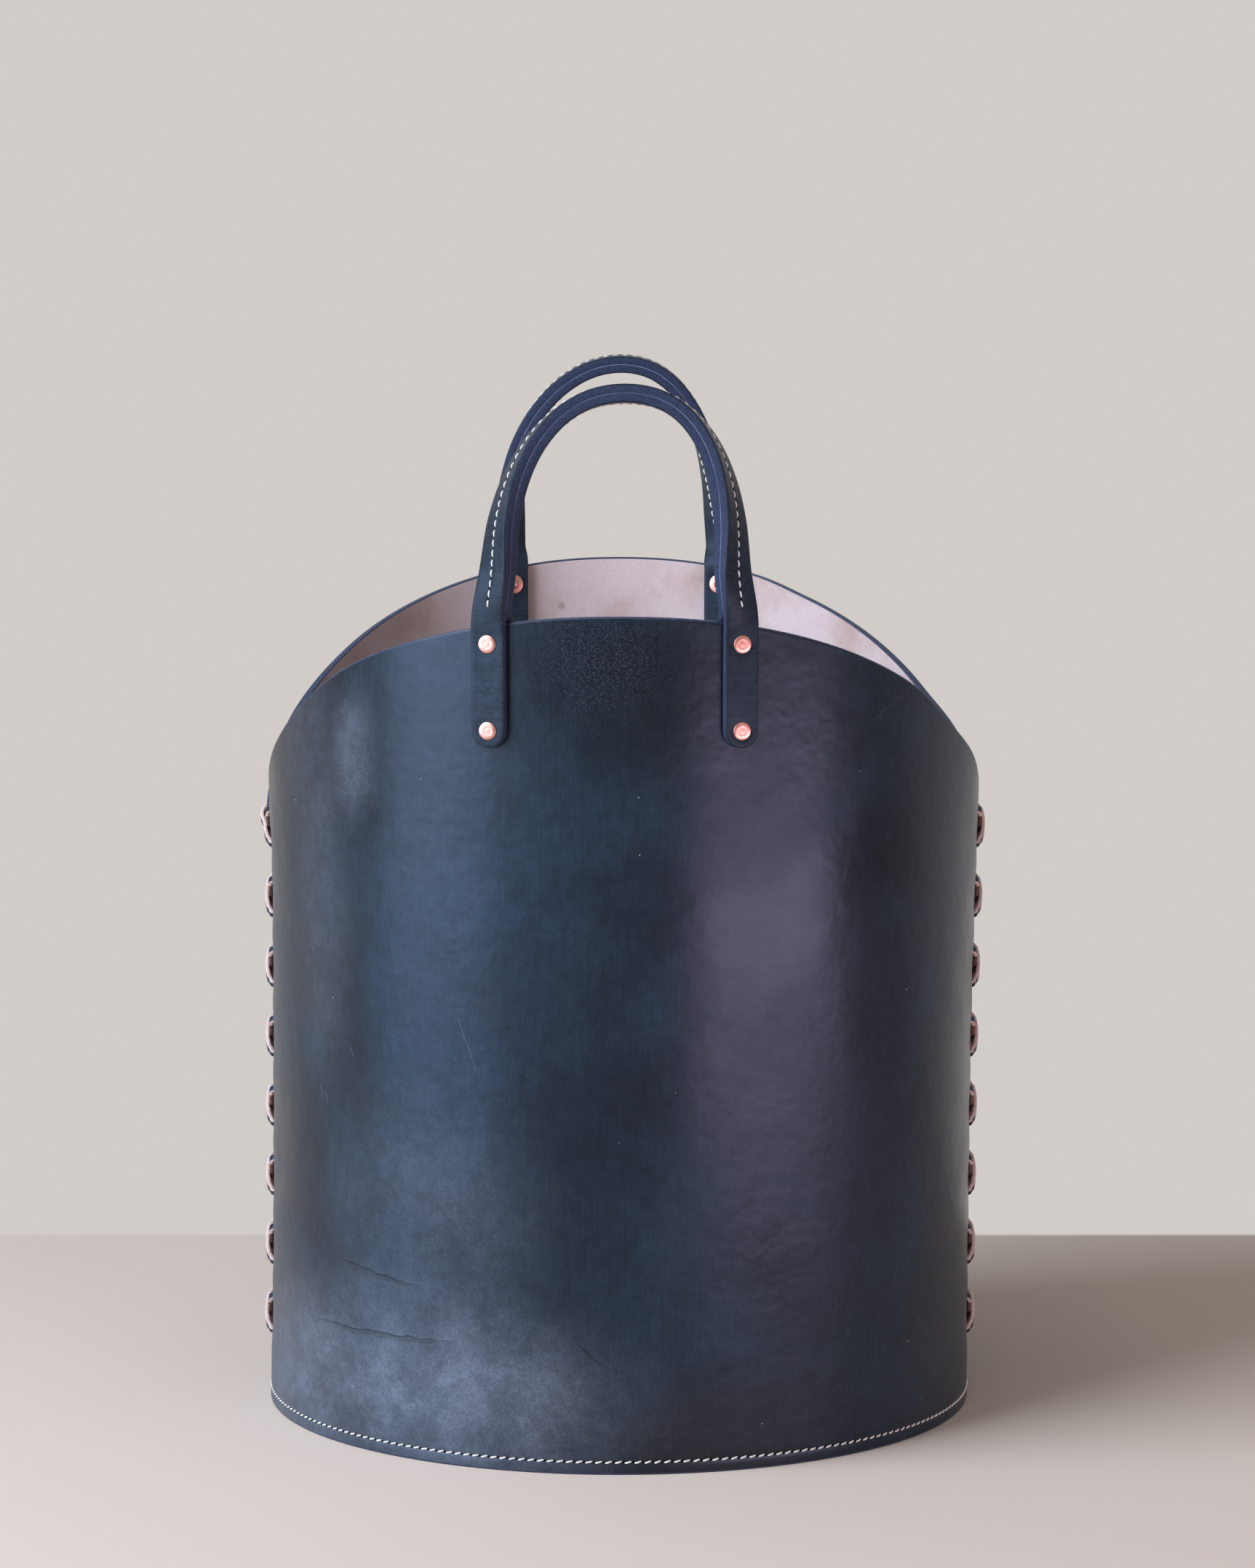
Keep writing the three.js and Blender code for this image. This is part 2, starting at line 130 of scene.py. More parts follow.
def unit(vectors: np.ndarray) -> np.ndarray:
    """Vectors of length 1 along the given ones, one to a row."""
    return vectors / np.linalg.norm(vectors, axis=-1, keepdims=True)


def travelled(points: np.ndarray) -> np.ndarray:
    """Distance travelled at each point of a path, one to a row, from 0 at the first."""
    steps = np.linalg.norm(np.diff(points, axis=0), axis=1)
    return np.concatenate([[0.0], np.cumsum(steps)])


def outward(angles: np.ndarray) -> np.ndarray:
    """Level direction out of the basket at each angle."""
    return np.stack([np.sin(angles), -np.cos(angles), 0 * angles], axis=1)


def new_mesh(
    name: str, points: np.ndarray, faces: list[tuple[int, ...]], slots: list[int] | None = None
) -> Mesh:
    """Makes a mesh whose faces point outwards.

    Args:
        name: Name of the mesh.
        points: Vertices, one to a row.
        faces: Corner indices of each face.
        slots: Material index of each face.

    Returns:
        The mesh, shaded smooth.
    """
    mesh = bpy.data.meshes.new(name)
    mesh.from_pydata([tuple(p) for p in points], [], faces)
    if slots is not None:
        mesh.polygons.foreach_set("material_index", slots)
    mesh.validate()
    return faced_out(mesh)


def faced_out(mesh: Mesh) -> Mesh:
    """Turns a closed mesh's faces outwards and shades it smooth.

    Args:
        mesh: Mesh whose faces agree with each other.

    Returns:
        The same mesh.
    """
    mesh.calc_loop_triangles()
    corners = np.empty(3 * len(mesh.loop_triangles), np.int32)
    mesh.loop_triangles.foreach_get("vertices", corners)
    a, b, c = (vertex_places(mesh)[corners.reshape(-1, 3)[:, k]] for k in range(3))
    if np.einsum("ij,ij->i", a, np.cross(b, c)).sum() < 0:
        mesh.flip_normals()
    mesh.polygons.foreach_set("use_smooth", [True] * len(mesh.polygons))
    return mesh


def vertex_places(mesh: Mesh) -> np.ndarray:
    """Places of the mesh's vertices, one to a row."""
    return np.array([vertex.co[:] for vertex in mesh.vertices])


def new_object(name: str, data: bpy.types.ID, *materials: Material) -> Object:
    """Puts a mesh, a lamp or a camera into the scene as an object at the origin.

    Args:
        name: Name of the object.
        data: Its mesh, lamp or camera.
        materials: Materials to add to the mesh, in the order of its slots.

    Returns:
        The object.
    """
    for material in materials:
        data.materials.append(material)
    piece = bpy.data.objects.new(name, data)
    bpy.context.scene.collection.objects.link(piece)
    return piece


def lathe(outline: list[tuple[float, float]], segments: int, name: str) -> Mesh:
    """Turns an outline round the Z axis.

    Args:
        outline: Radius and height of each point, from axis to axis or closing on itself.
        segments: Steps in a full turn.
        name: Name of the mesh.

    Returns:
        The closed mesh.
    """
    turns = [2 * math.pi * k / segments for k in range(segments)]
    points, rings = [], []
    for radius, height in outline:
        if radius == 0:
            rings.append([len(points)] * segments)
            points.append((0.0, 0.0, height))
            continue
        rings.append(list(range(len(points), len(points) + segments)))
        points += [(radius * math.cos(t), radius * math.sin(t), height) for t in turns]
    if outline[0][0] != 0:
        rings.append(rings[0])
    faces = []
    for (low, high), k in product(zip(rings, rings[1:]), range(segments)):
        after = (k + 1) % segments
        faces.append(tuple(dict.fromkeys((low[k], low[after], high[after], high[k]))))
    return new_mesh(name, np.array(points), faces)


class Step(Enum):
    """Nodes that come again and again: type, inputs in order, output, and what is set."""

    NOISE = ("ShaderNodeTexNoise", ("Vector", "Scale", "Detail"), 0, {"Roughness": 0.6})
    CELLS = ("ShaderNodeTexVoronoi", ("Vector", "Scale"), "Distance", {})
    RANGE = ("ShaderNodeMapRange", range(5), 0, {"interpolation_type": "SMOOTHSTEP"})
    BLEND = ("ShaderNodeMix", (0, 6, 7), 2, {"data_type": "RGBA"})
    SHADE = ("ShaderNodeVectorMath", (0, "Scale"), 0, {"operation": "SCALE"})
    STRETCH = ("ShaderNodeVectorMath", range(2), 0, {"operation": "MULTIPLY"})
    SHIFT = ("ShaderNodeVectorMath", range(2), 0, {"operation": "ADD"})
    BUMP = ("ShaderNodeBump", ("Height", "Distance", "Normal"), 0, {})
    ADD = ("ShaderNodeMath", range(2), 0, {"operation": "ADD"})
    LESS = ("ShaderNodeMath", range(2), 0, {"operation": "SUBTRACT"})
    TIMES = ("ShaderNodeMath", range(2), 0, {"operation": "MULTIPLY"})
    TIMES_ADD = ("ShaderNodeMath", range(3), 0, {"operation": "MULTIPLY_ADD"})
    GREATER = ("ShaderNodeMath", range(2), 0, {"operation": "MAXIMUM"})
    ABSOLUTE = ("ShaderNodeMath", range(1), 0, {"operation": "ABSOLUTE"})
    OWN = ("GeometryNodeInputNamedAttribute", ("Name",), 0, {"data_type": "FLOAT_VECTOR"})
    OTHER = ("GeometryNodeObjectInfo", ("Object",), "Geometry", {"transform_space": "ORIGINAL"})


class Nodes:
    """A node tree that is being filled."""

    def __init__(self, tree: bpy.types.NodeTree) -> None:
        """Starts on a tree."""
        self.tree = tree

    def add(self, kind: Step | str, *values: object, out: int | str = 0, **named: object) -> Socket:
        """Adds a node with its settings and links.

        Args:
            kind: Step, or Blender's name of the node type.
            values: Inputs in order, each a value, an sRGB colour or a socket to link.
            out: Output to give back, for a node that is no step.
            named: Settings, and inputs by name. An input's name starts with a capital and has an
                underscore for each space.

        Returns:
            The node's output.
        """
        order, fixed = range(len(values)), {}
        if isinstance(kind, Step):
            kind, order, out, fixed = kind.value
        node = self.tree.nodes.new(kind)
        inputs = dict(zip(order, values))
        for name, value in (fixed | named).items():
            if name[0].isupper():
                inputs[name.replace("_", " ")] = value
            else:
                setattr(node, name, value)
        self.feed(node, inputs)
        return node.outputs[out]

    def feed(self, node: bpy.types.Node, inputs: dict[int | str, object]) -> None:
        """Gives a node its inputs.

        Args:
            node: The node.
            inputs: Value, sRGB colour or socket to link, by the input's index or name.
        """
        for key, value in inputs.items():
            if isinstance(value, Socket):
                self.tree.links.new(value, node.inputs[key])
                continue
            if isinstance(value, str) and value.startswith("#"):
                value = linear(value)
            node.inputs[key].default_value = value


class GeometryTool(Nodes):
    """A Geometry Nodes tree with named inputs, run once on an object and then applied."""

    def __init__(self, name: str, **inputs: str) -> None:
        """Starts the tree.

        Args:
            name: Name of the tree.
            inputs: Socket type of each named input, apart from the geometry.
        """
        super().__init__(bpy.data.node_groups.new(name, "GeometryNodeTree"))
        face = self.tree.interface
        face.new_socket("Geometry", in_out="INPUT", socket_type="NodeSocketGeometry")
        self.sockets = {}
        for label, kind in inputs.items():
            socket = face.new_socket(label, in_out="INPUT", socket_type=f"NodeSocket{kind}")
            self.sockets[label] = socket.identifier
        face.new_socket("Geometry", in_out="OUTPUT", socket_type="NodeSocketGeometry")
        self.start = self.tree.nodes.new("NodeGroupInput").outputs
        self.end = self.tree.nodes.new("NodeGroupOutput")

    def set_out(self, points: Socket, part: Socket, rotation: Socket, **scale: Socket) -> Socket:
        """Sets a copy of a part at each point and makes it real, in the tree's material.

        Args:
            points: Geometry whose points are the places.
            part: Geometry of the part.
            rotation: Rotation at each point.
            scale: Scale at each point, where it isn't 1.

        Returns:
            The copies.
        """
        kind = "GeometryNodeInstanceOnPoints"
        placed = self.add(kind, Points=points, Instance=part, Rotation=rotation, **scale)
        real = self.add("GeometryNodeRealizeInstances", placed)
        material = self.start["Material"]
        return self.add("GeometryNodeSetMaterial", Geometry=real, Material=material)

    def turned(self) -> Socket:
        """Rotation of each place: Z along its axis and X along its heading."""
        pair = [self.add(Step.OWN, name) for name in ("axis", "heading")]
        return self.add("FunctionNodeAxesToRotation", *pair, primary_axis="Z", secondary_axis="X")

    def run(self, obj: Object, **values: object) -> None:
        """Gives the object the tree's result as a plain mesh.

        Args:
            obj: Object whose mesh goes in, and which gets the result.
            values: Value of each named input.
        """
        modifier = obj.modifiers.new(self.tree.name, "NODES")
        modifier.node_group = self.tree
        for label, value in values.items():
            modifier[self.sockets[label]] = value
        graph = bpy.context.evaluated_depsgraph_get()
        made = bpy.data.meshes.new_from_object(obj.evaluated_get(graph), depsgraph=graph)
        obj.modifiers.remove(modifier)
        made.name = obj.data.name
        obj.data = made


@dataclass
class Places:
    """Places on the leather, each with the direction out of it and a direction along it."""

    points: np.ndarray
    axes: np.ndarray
    headings: np.ndarray
    size: tuple[float, float, float] = (1.0, 1.0, 1.0)

    @classmethod
    def joined(cls, rows: list["Places"]) -> "Places":
        """Several sets of places as one."""
        parts = zip(*((row.points, row.axes, row.headings) for row in rows))
        return cls(*(np.concatenate(part) for part in parts))

    def as_object(self, name: str) -> Object:
        """Makes the places into loose points that a geometry tree can read.

        Args:
            name: Name of the object.

        Returns:
            The object, with its directions and sizes as attributes.
        """
        mesh = bpy.data.meshes.new(name)
        mesh.from_pydata([tuple(p) for p in self.points], [], [])
        sizes = np.tile(self.size, (len(self.points), 1))
        for label, rows in (("axis", self.axes), ("heading", self.headings), ("size", sizes)):
            layer = mesh.attributes.new(label, "FLOAT_VECTOR", "POINT")
            layer.data.foreach_set("vector", np.asarray(rows, float).ravel())
        return new_object(name, mesh)


class Punch(GeometryTool):
    """Punches and awls: takes a prism out of the leather at each of a set of places."""

    def __init__(self, inside: Material) -> None:
        """Builds the tree.

        Args:
            inside: Material of the walls of what is cut.
        """
        self.inside = inside
        super().__init__("punched leather", Places="Object", Sides="Int", Material="Material")
        places = self.add(Step.OTHER, self.start["Places"])
        sides = {"Vertices": self.start["Sides"], "Radius": 0.5, "Depth": 1.0}
        prism = self.add("GeometryNodeMeshCylinder", **sides, fill_type="NGON", out="Mesh")
        prisms = self.set_out(places, prism, self.turned(), Scale=self.add(Step.OWN, "size"))
        meshes = {"Mesh_1": self.start["Geometry"], "Mesh_2": prisms}
        ways = {"operation": "DIFFERENCE", "solver": "MANIFOLD"}
        cut = self.add("GeometryNodeMeshBoolean", **meshes, **ways)
        self.feed(self.end, {"Geometry": cut})

    def cut(self, obj: Object, places: Places, sides: int) -> None:
        """Cuts the object's leather.

        Args:
            obj: Closed piece to cut.
            places: Where each punch goes in, its axis, its heading and its size.
            sides: Sides of the prism.
        """
        holder = places.as_object("punches")
        self.run(obj, Places=holder, Sides=sides, Material=self.inside)
        bpy.data.objects.remove(holder)


class Sewing(GeometryTool):
    """Saddle stitch: one slanting thread for each place, its ends sunk into the leather."""

    def __init__(self) -> None:
        """Builds the tree."""
        sizes = dict.fromkeys(("Length", "Thread", "Slant", "Unevenness"), "Float")
        super().__init__("saddle stitch", **sizes, Seed="Int", Material="Material")
        reach = {"Min": (-0.3, -0.3, -1.0), "Max": (0.3, 0.3, 1.0), "Seed": self.start["Seed"]}
        wobble = self.add("FunctionNodeRandomValue", **reach, data_type="FLOAT_VECTOR")
        shake = self.add(Step.SHADE, wobble, self.start["Unevenness"])
        slant = self.add("ShaderNodeCombineXYZ", Z=self.start["Slant"])
        lean = self.add(Step.SHIFT, slant, shake)
        kind = "FunctionNodeRotateRotation"
        slanted = self.add(kind, self.turned(), lean, rotation_space="LOCAL")
        stitches = self.set_out(self.start["Geometry"], self._stitch(), slanted)
        self.feed(self.end, {"Geometry": stitches})

    def _stitch(self) -> Socket:
        """One thread: a low arch along X whose two ends dive below the surface.

        Returns:
            Its geometry.
        """
        ends = []
        for share, sink in ((-0.5, -0.5), (0.0, 1.05), (0.5, -0.5)):
            along = self.add(Step.TIMES, self.start["Length"], share)
            up = self.add(Step.TIMES, self.start["Thread"], sink)
            ends.append(self.add("ShaderNodeCombineXYZ", X=along, Z=up))
        line = self.add("GeometryNodeCurveQuadraticBezier", 6, *ends)
        radius = self.add(Step.TIMES, self.start["Thread"], 0.5)
        section = self.add("GeometryNodeCurvePrimitiveCircle", Resolution=7, Radius=radius)
        parts = {"Curve": line, "Profile_Curve": section, "Fill_Caps": True}
        return self.add("GeometryNodeCurveToMesh", **parts)


class Setting(GeometryTool):
    """Sets a copy of one part, such as a rivet, at each place."""

    def __init__(self) -> None:
        """Builds the tree."""
        super().__init__("set rivets", Part="Object", Material="Material")
        part = self.add(Step.OTHER, self.start["Part"])
        self.feed(self.end, {"Geometry": self.set_out(self.start["Geometry"], part, self.turned())})


class Finish(Nodes):
    """A material being made, which reads the piece's own place."""

    def __init__(self, name: str) -> None:
        """Starts the material.

        Args:
            name: Name for the real material.
        """
        self.material = bpy.data.materials.new(name)
        self.material.use_nodes = True
        super().__init__(self.material.node_tree)
        self.shader = self.tree.nodes["Principled BSDF"]
        self.place = self.add("ShaderNodeTexCoord", out="Object")

    def dress(self, **inputs: object) -> Material:
        """Ends the material: values or sockets for the shader, with _ for a space in a name."""
        self.feed(self.shader, {name.replace("_", " "): value for name, value in inputs.items()})
        return self.material


@dataclass(frozen=True)
class Spot:
    """A soft oval on a hide, in millimetres: its middle's arc and height, its half sizes."""

    arc: float
    height: float
    half_arc: float
    half_height: float
    strength: float
    colour: str = ""


@dataclass(frozen=True)
class Mark:
    """A wrinkle or a scratch, in millimetres: its ends' arc and height, its width and wavering."""

    start: tuple[float, float]
    end: tuple[float, float]
    width: float
    waver: float
    strength: float


@dataclass(frozen=True)
class GrainLeather:
    """Vegetable-tanned shoulder, dyed by hand and waxed: dark, softly glossy and clouded.

    Its grain side is smooth, with pebbles only here and there, and shows every mark of the hide.
    """

    name: str
    dye: str = "#171f28"
    deep_dye: str = "#141820"
    light_dye: str = "#1a2632"
    bloom: str = "#757d8c"
    speck: str = "#b9c4cc"
    glint: str = "#c8dfff"
    roughness: float = 0.27
    specular: float = 0.37
    # Tinted ovals; on the front, some are painted sheen, painted floor reflection and painted
    # shade.
    stains: tuple[Spot, ...] = ()
    blooms: tuple[Spot, ...] = ()
    pebbles: tuple[Spot, ...] = ()
    wrinkles: tuple[Mark, ...] = ()
    scratches: tuple[Mark, ...] = ()
    seed: float = 0.0
    cloud: float = 85 * MM
    mottle: float = 7 * MM
    fleck: float = 1.3 * MM
    pore: float = 0.55 * MM
    pebble: float = 1.05 * MM
    unevenness: float = 16 * MM
    haze: float = 38 * MM
    drift: float = 17 * MM
    streak: tuple[float, float] = (0.9 * MM, 3.2 * MM)
    stroke: tuple[float, float] = (1.5 * MM, 34 * MM)
    speck_spacing: float = 21 * MM

    def material(self) -> Material:
        """Builds the material."""
        return Hide(self).finished()


class Hide(Finish):
    """A grain leather being made, with the patterns that several of its looks share."""

    def __init__(self, leather: GrainLeather) -> None:
        """Starts the material.

        Args:
            leather: The finish to make.
        """
        super().__init__(leather.name)
        self.leather = leather
        self.measure = self.add("ShaderNodeUVMap", uv_map="hide")
        seed = (leather.seed, leather.seed * 0.7, leather.seed * 0.4)
        self.grown = self.add(Step.SHIFT, self.place, seed)
        self.clouds = self.add(Step.NOISE, self.grown, 1 / leather.cloud, 3)
        self.mottle = self.add(Step.NOISE, self.grown, 1 / leather.mottle, 5)
        self.fleck = self.add(Step.NOISE, self.grown, 1 / leather.fleck, 3)

    def finished(self) -> Material:
        """Puts dye, wax, specks and marks over each other, with painted shade along the wrinkles.

        Returns:
            The material.
        """
        leather, wax = self.leather, self._waxed()
        colour = self.add(Step.BLEND, wax, self._dyed(), leather.bloom)
        specks = self.add(Step.CELLS, self.grown, 1 / leather.speck_spacing)
        specks = self.add(Step.RANGE, specks, 0.008, 0.02, 0.8, 0.0)
        colour = self.add(Step.BLEND, specks, colour, leather.speck)
        tips = self.add(Step.CELLS, self.grown, 1 / leather.pebble)
        tips = self.add(Step.RANGE, tips, 0.05, 0.45, 0.3, 0.0)
        tips = self.add(Step.TIMES, tips, self._total(leather.pebbles))
        colour = self.add(Step.BLEND, tips, colour, leather.bloom)
        dark, lip = self._drawn(leather.wrinkles)
        pale, _ = self._drawn(leather.scratches)
        # Painted shade: each wrinkle is darkened along its fold.
        colour = self.add(Step.BLEND, self.add(Step.TIMES, dark, 0.9), colour, leather.deep_dye)
        colour = self.add(Step.BLEND, self.add(Step.TIMES, pale, 0.6), colour, leather.bloom)
        low, high = leather.roughness - 0.03, leather.roughness + 0.08
        gloss = self.add(Step.RANGE, self.clouds, 0.3, 0.7, low, high)
        gloss = self.add(Step.TIMES_ADD, wax, 0.3, gloss)
        gloss = self.add(Step.TIMES_ADD, self.fleck, 0.05, gloss)
        return self.dress(
            Base_Color=colour,
            Roughness=gloss,
            Specular_IOR_Level=leather.specular,
            Specular_Tint=leather.glint,
            Normal=self._relief(lip),
        )

    def _dyed(self) -> Socket:
        """Dye that took unevenly: clouds of two tones, tinted ovals, mottled and flecked. Some
        ovals are painted light: painted sheen, painted reflection and painted shade.

        Returns:
            The colour.
        """
        leather = self.leather
        deep = self.add(Step.RANGE, self.clouds, 0.34, 0.52)
        colour = self.add(Step.BLEND, deep, leather.deep_dye, leather.dye)
        light = self.add(Step.RANGE, self.clouds, 0.5, 0.68)
        colour = self.add(Step.BLEND, light, colour, leather.light_dye)
        uneven = self.add(Step.RANGE, self.clouds, 0.28, 0.6, 0.5, 1.0)
        # Tinted ovals, partly painted light: painted sheen, painted reflection and painted shade.
        for tint_spot in leather.stains:
            share = self.add(Step.TIMES, self._patch(tint_spot), uneven)
            colour = self.add(Step.BLEND, share, colour, tint_spot.colour)
        for pattern, low, high, dark, bright in (
            (self._combed(leather.stroke, 3), 0.3, 0.7, 0.86, 1.14),
            (self.mottle, 0.25, 0.75, 0.82, 1.2),
            (self.fleck, 0.35, 0.75, 0.88, 1.3),
        ):
            shade = self.add(Step.RANGE, pattern, low, high, dark, bright)
            colour = self.add(Step.SHADE, colour, shade)
        return colour

    def _waxed(self) -> Socket:
        """How much wax shows: drawn out in short streaks and broken up by the grain.

        Returns:
            Its share.
        """
        haze = self.add(Step.NOISE, self.place, 1 / self.leather.haze, 5)
        share = self.add(Step.RANGE, self._combed(self.leather.streak, 4), 0.3, 0.75, 0.85, 1.05)
        for pattern, low, high, least, most in (
            (self.mottle, 0.3, 0.7, 0.75, 1.05),
            (self.fleck, 0.35, 0.7, 0.75, 1.1),
            (haze, 0.36, 0.64, 0.65, 1.1),
        ):
            shown = self.add(Step.RANGE, pattern, low, high, least, most)
            share = self.add(Step.TIMES, share, shown)
        return self.add(Step.TIMES, share, self._total(self.leather.blooms))

    def _combed(self, size: tuple[float, float], detail: float) -> Socket:
        """Noise on the hide whose features are so wide along the arc and so high."""
        drawn = self.add(Step.STRETCH, self.measure, (1 / size[0], 1 / size[1], 1.0))
        return self.add(Step.NOISE, drawn, 1.0, detail)

    def _patch(self, spot: Spot) -> Socket:
        """A soft oval on the hide.

        Args:
            spot: Where it is, its size and its strength.

        Returns:
            Its strength at each place.
        """
        middle = (spot.arc * MM, spot.height * MM, 0.0)
        size = (spot.half_arc * MM, spot.half_height * MM, 1.0)
        kind = "ShaderNodeVectorMath"
        centred = self.add(kind, self.measure, middle, operation="SUBTRACT")
        scaled = self.add(kind, centred, size, operation="DIVIDE")
        away = self.add(kind, scaled, operation="LENGTH", out="Value")
        return self.add(Step.RANGE, away, 0.15, 1.0, spot.strength, 0.0)

    def _total(self, spots: tuple[Spot, ...]) -> Socket:
        """Soft ovals added up.

        Args:
            spots: The ovals.

        Returns:
            Their strength together.
        """
        total = self.add(Step.TIMES, 0.0, 0.0)
        for spot in spots:
            total = self.add(Step.ADD, total, self._patch(spot))
        return total

    def _drawn(self, marks: tuple[Mark, ...]) -> tuple[Socket, Socket]:
        """Lines on the hide.

        Args:
            marks: The lines.

        Returns:
            How strongly they show, and the height of the lip above each.
        """
        shown = raised = self.add(Step.TIMES, 0.0, 0.0)
        waver = self.add(Step.NOISE, self.grown, 1 / self.leather.drift, 2)
        for mark in marks:
            start, end = ([MM * x for x in ends] for ends in (mark.start, mark.end))
            width, wavering = mark.width * MM, mark.waver * MM
            along = Vector(end) - Vector(start)
            turn, size = (0.0, 0.0, math.atan2(along.y, along.x)), (along.length, 1.0, 1.0)
            inputs = (self.measure, (*start, 0.0), turn, size)
            local = self.add("ShaderNodeMapping", *inputs, vector_type="TEXTURE")
            parts = self.add("ShaderNodeSeparateXYZ", local).node.outputs
            aside = self.add(Step.TIMES_ADD, waver, wavering, parts["Y"])
            aside = self.add(Step.LESS, aside, wavering / 2)
            reach = self.add(Step.ABSOLUTE, self.add(Step.LESS, parts["X"], 0.5))
            window = self.add(Step.RANGE, reach, 0.2, 0.5, mark.strength, 0.0)
            line = self.add(Step.RANGE, self.add(Step.ABSOLUTE, aside), 0.1 * width, width, 1, 0)
            rise = self.add(Step.RANGE, aside, -6 * width, 0.3 * width)
            fall = self.add(Step.RANGE, aside, 0.3 * width, 1.6 * width, 1, 0)
            shown = self.add(Step.TIMES_ADD, line, window, shown)
            raised = self.add(Step.TIMES_ADD, self.add(Step.TIMES, rise, fall), window, raised)
        return shown, raised

    def _relief(self, lip: Socket) -> Socket:
        """The grain: broad unevenness, pores everywhere, pebbles in patches, and wrinkles' lips.

        Args:
            lip: Height of the wrinkles' lips.

        Returns:
            The normal.
        """
        leather, place = self.leather, self.grown
        broad = self.add(Step.NOISE, place, 1 / leather.unevenness, 2)
        pores = self.add(Step.NOISE, place, 1 / leather.pore, 2)
        rounded = {"Smoothness": 0.5, "feature": "SMOOTH_F1"}
        cells = self.add(Step.CELLS, place, 1 / leather.pebble, **rounded)
        domed = self.add(Step.TIMES, cells, self._total(leather.pebbles))
        normal = self.add(Step.BUMP, broad, 0.35 * MM)
        for height, depth in ((pores, 0.018), (domed, -0.13), (lip, 0.8)):
            normal = self.add(Step.BUMP, height, depth * MM, normal)
        return normal


@dataclass(frozen=True)
class FleshLeather:
    """The flesh side of leather: a matt nap, clouded, with a few spots, pinkish if undyed."""

    name: str
    tan: str = "#cdbab8"
    dark_tan: str = "#b99f97"
    spot: str = "#8a5f50"
    roughness: float = 0.85
    specular: float = 0.25
    cloud: float = 55 * MM
    nap: float = 1.1 * MM
    nap_height: float = 0.12 * MM
    spot_spacing: float = 45 * MM

    def material(self) -> Material:
        """Builds the material.

        Returns:
            The material.
        """
        made = Finish(self.name)
        nap = made.add(Step.NOISE, made.place, 1 / self.nap, 4)
        clouds = made.add(Step.NOISE, made.place, 1 / self.cloud, 6)
        clouds = made.add(Step.RANGE, clouds, 0.35, 0.62)
        colour = made.add(Step.BLEND, clouds, self.dark_tan, self.tan)
        colour = made.add(Step.SHADE, colour, made.add(Step.RANGE, nap, 0.3, 0.7, 0.93, 1.05))
        spots = made.add(Step.CELLS, made.place, 1 / self.spot_spacing)
        spots = made.add(Step.RANGE, spots, 0.03, 0.08, 0.5, 0)
        return made.dress(
            Base_Color=made.add(Step.BLEND, spots, colour, self.spot),
            Roughness=self.roughness,
            Specular_IOR_Level=self.specular,
            Normal=made.add(Step.BUMP, nap, self.nap_height),
        )


@dataclass(frozen=True)
class CutEdge:
    """A cut edge of leather, with fine fibres along it: rubbed smooth, or left like suede."""

    name: str
    colour: str
    light: str
    roughness: float
    specular: float = 0.35
    fibre: tuple[float, float] = (3 * MM, 0.6 * MM)
    tuft: float = 0.8 * MM
    height: float = 0.12 * MM

    def material(self) -> Material:
        """Builds the material.

        Returns:
            The material.
        """
        made = Finish(self.name)
        run = made.add("ShaderNodeUVMap", uv_map="run")
        drawn = made.add(Step.STRETCH, run, (1 / self.fibre[0], 1 / self.fibre[1], 1.0))
        fibres = made.add(Step.TIMES, made.add(Step.NOISE, drawn, 1.0, 4), 0.5)
        tufts = made.add(Step.NOISE, made.place, 1 / self.tuft, 3)
        both = made.add(Step.ADD, fibres, made.add(Step.TIMES, tufts, 0.5))
        light = made.add(Step.RANGE, both, 0.38, 0.62)
        return made.dress(
            Base_Color=made.add(Step.BLEND, light, self.colour, self.light),
            Roughness=self.roughness,
            Specular_IOR_Level=self.specular,
            Normal=made.add(Step.BUMP, both, self.height),
        )


@dataclass(frozen=True)
class BrushedCopper:
    """Copper punched from sheet and lightly brushed: a soft pink metal, dulled in places."""

    name: str
    colour: str = "#c99389"
    worn: str = "#bb877c"
    roughness: float = 0.28
    cloud: float = 3.5 * MM
    scratch: float = 0.25 * MM
    scratch_depth: float = 0.004 * MM

    def material(self) -> Material:
        """Builds the material.

        Returns:
            The material.
        """
        made = Finish(self.name)
        clouds = made.add(Step.NOISE, made.place, 1 / self.cloud, 4)
        scratches = made.add(Step.NOISE, made.place, 1 / self.scratch, 2)
        low, high = self.roughness - 0.02, self.roughness + 0.04
        clean = made.add(Step.RANGE, clouds, 0.3, 0.6)
        return made.dress(
            Base_Color=made.add(Step.BLEND, clean, self.worn, self.colour),
            Metallic=1.0,
            Roughness=made.add(Step.RANGE, clouds, 0.3, 0.7, low, high),
            Normal=made.add(Step.BUMP, scratches, self.scratch_depth),
        )


@dataclass(frozen=True)
class WaxedThread:
    """Braided polyester thread, waxed: off-white and slightly glossy."""

    name: str
    colour: str = "#e6e3dc"
    shade: str = "#bdb6aa"
    roughness: float = 0.5
    braid: float = 0.6 * MM
    braid_depth: float = 0.06 * MM

    def material(self) -> Material:
        """Builds the material.

        Returns:
            The material.
        """
        made = Finish(self.name)
        braid = made.add(Step.NOISE, made.place, 1 / self.braid, 2)
        lit = made.add(Step.RANGE, braid, 0.3, 0.6)
        return made.dress(
            Base_Color=made.add(Step.BLEND, lit, self.shade, self.colour),
            Roughness=self.roughness,
            Normal=made.add(Step.BUMP, braid, self.braid_depth),
        )


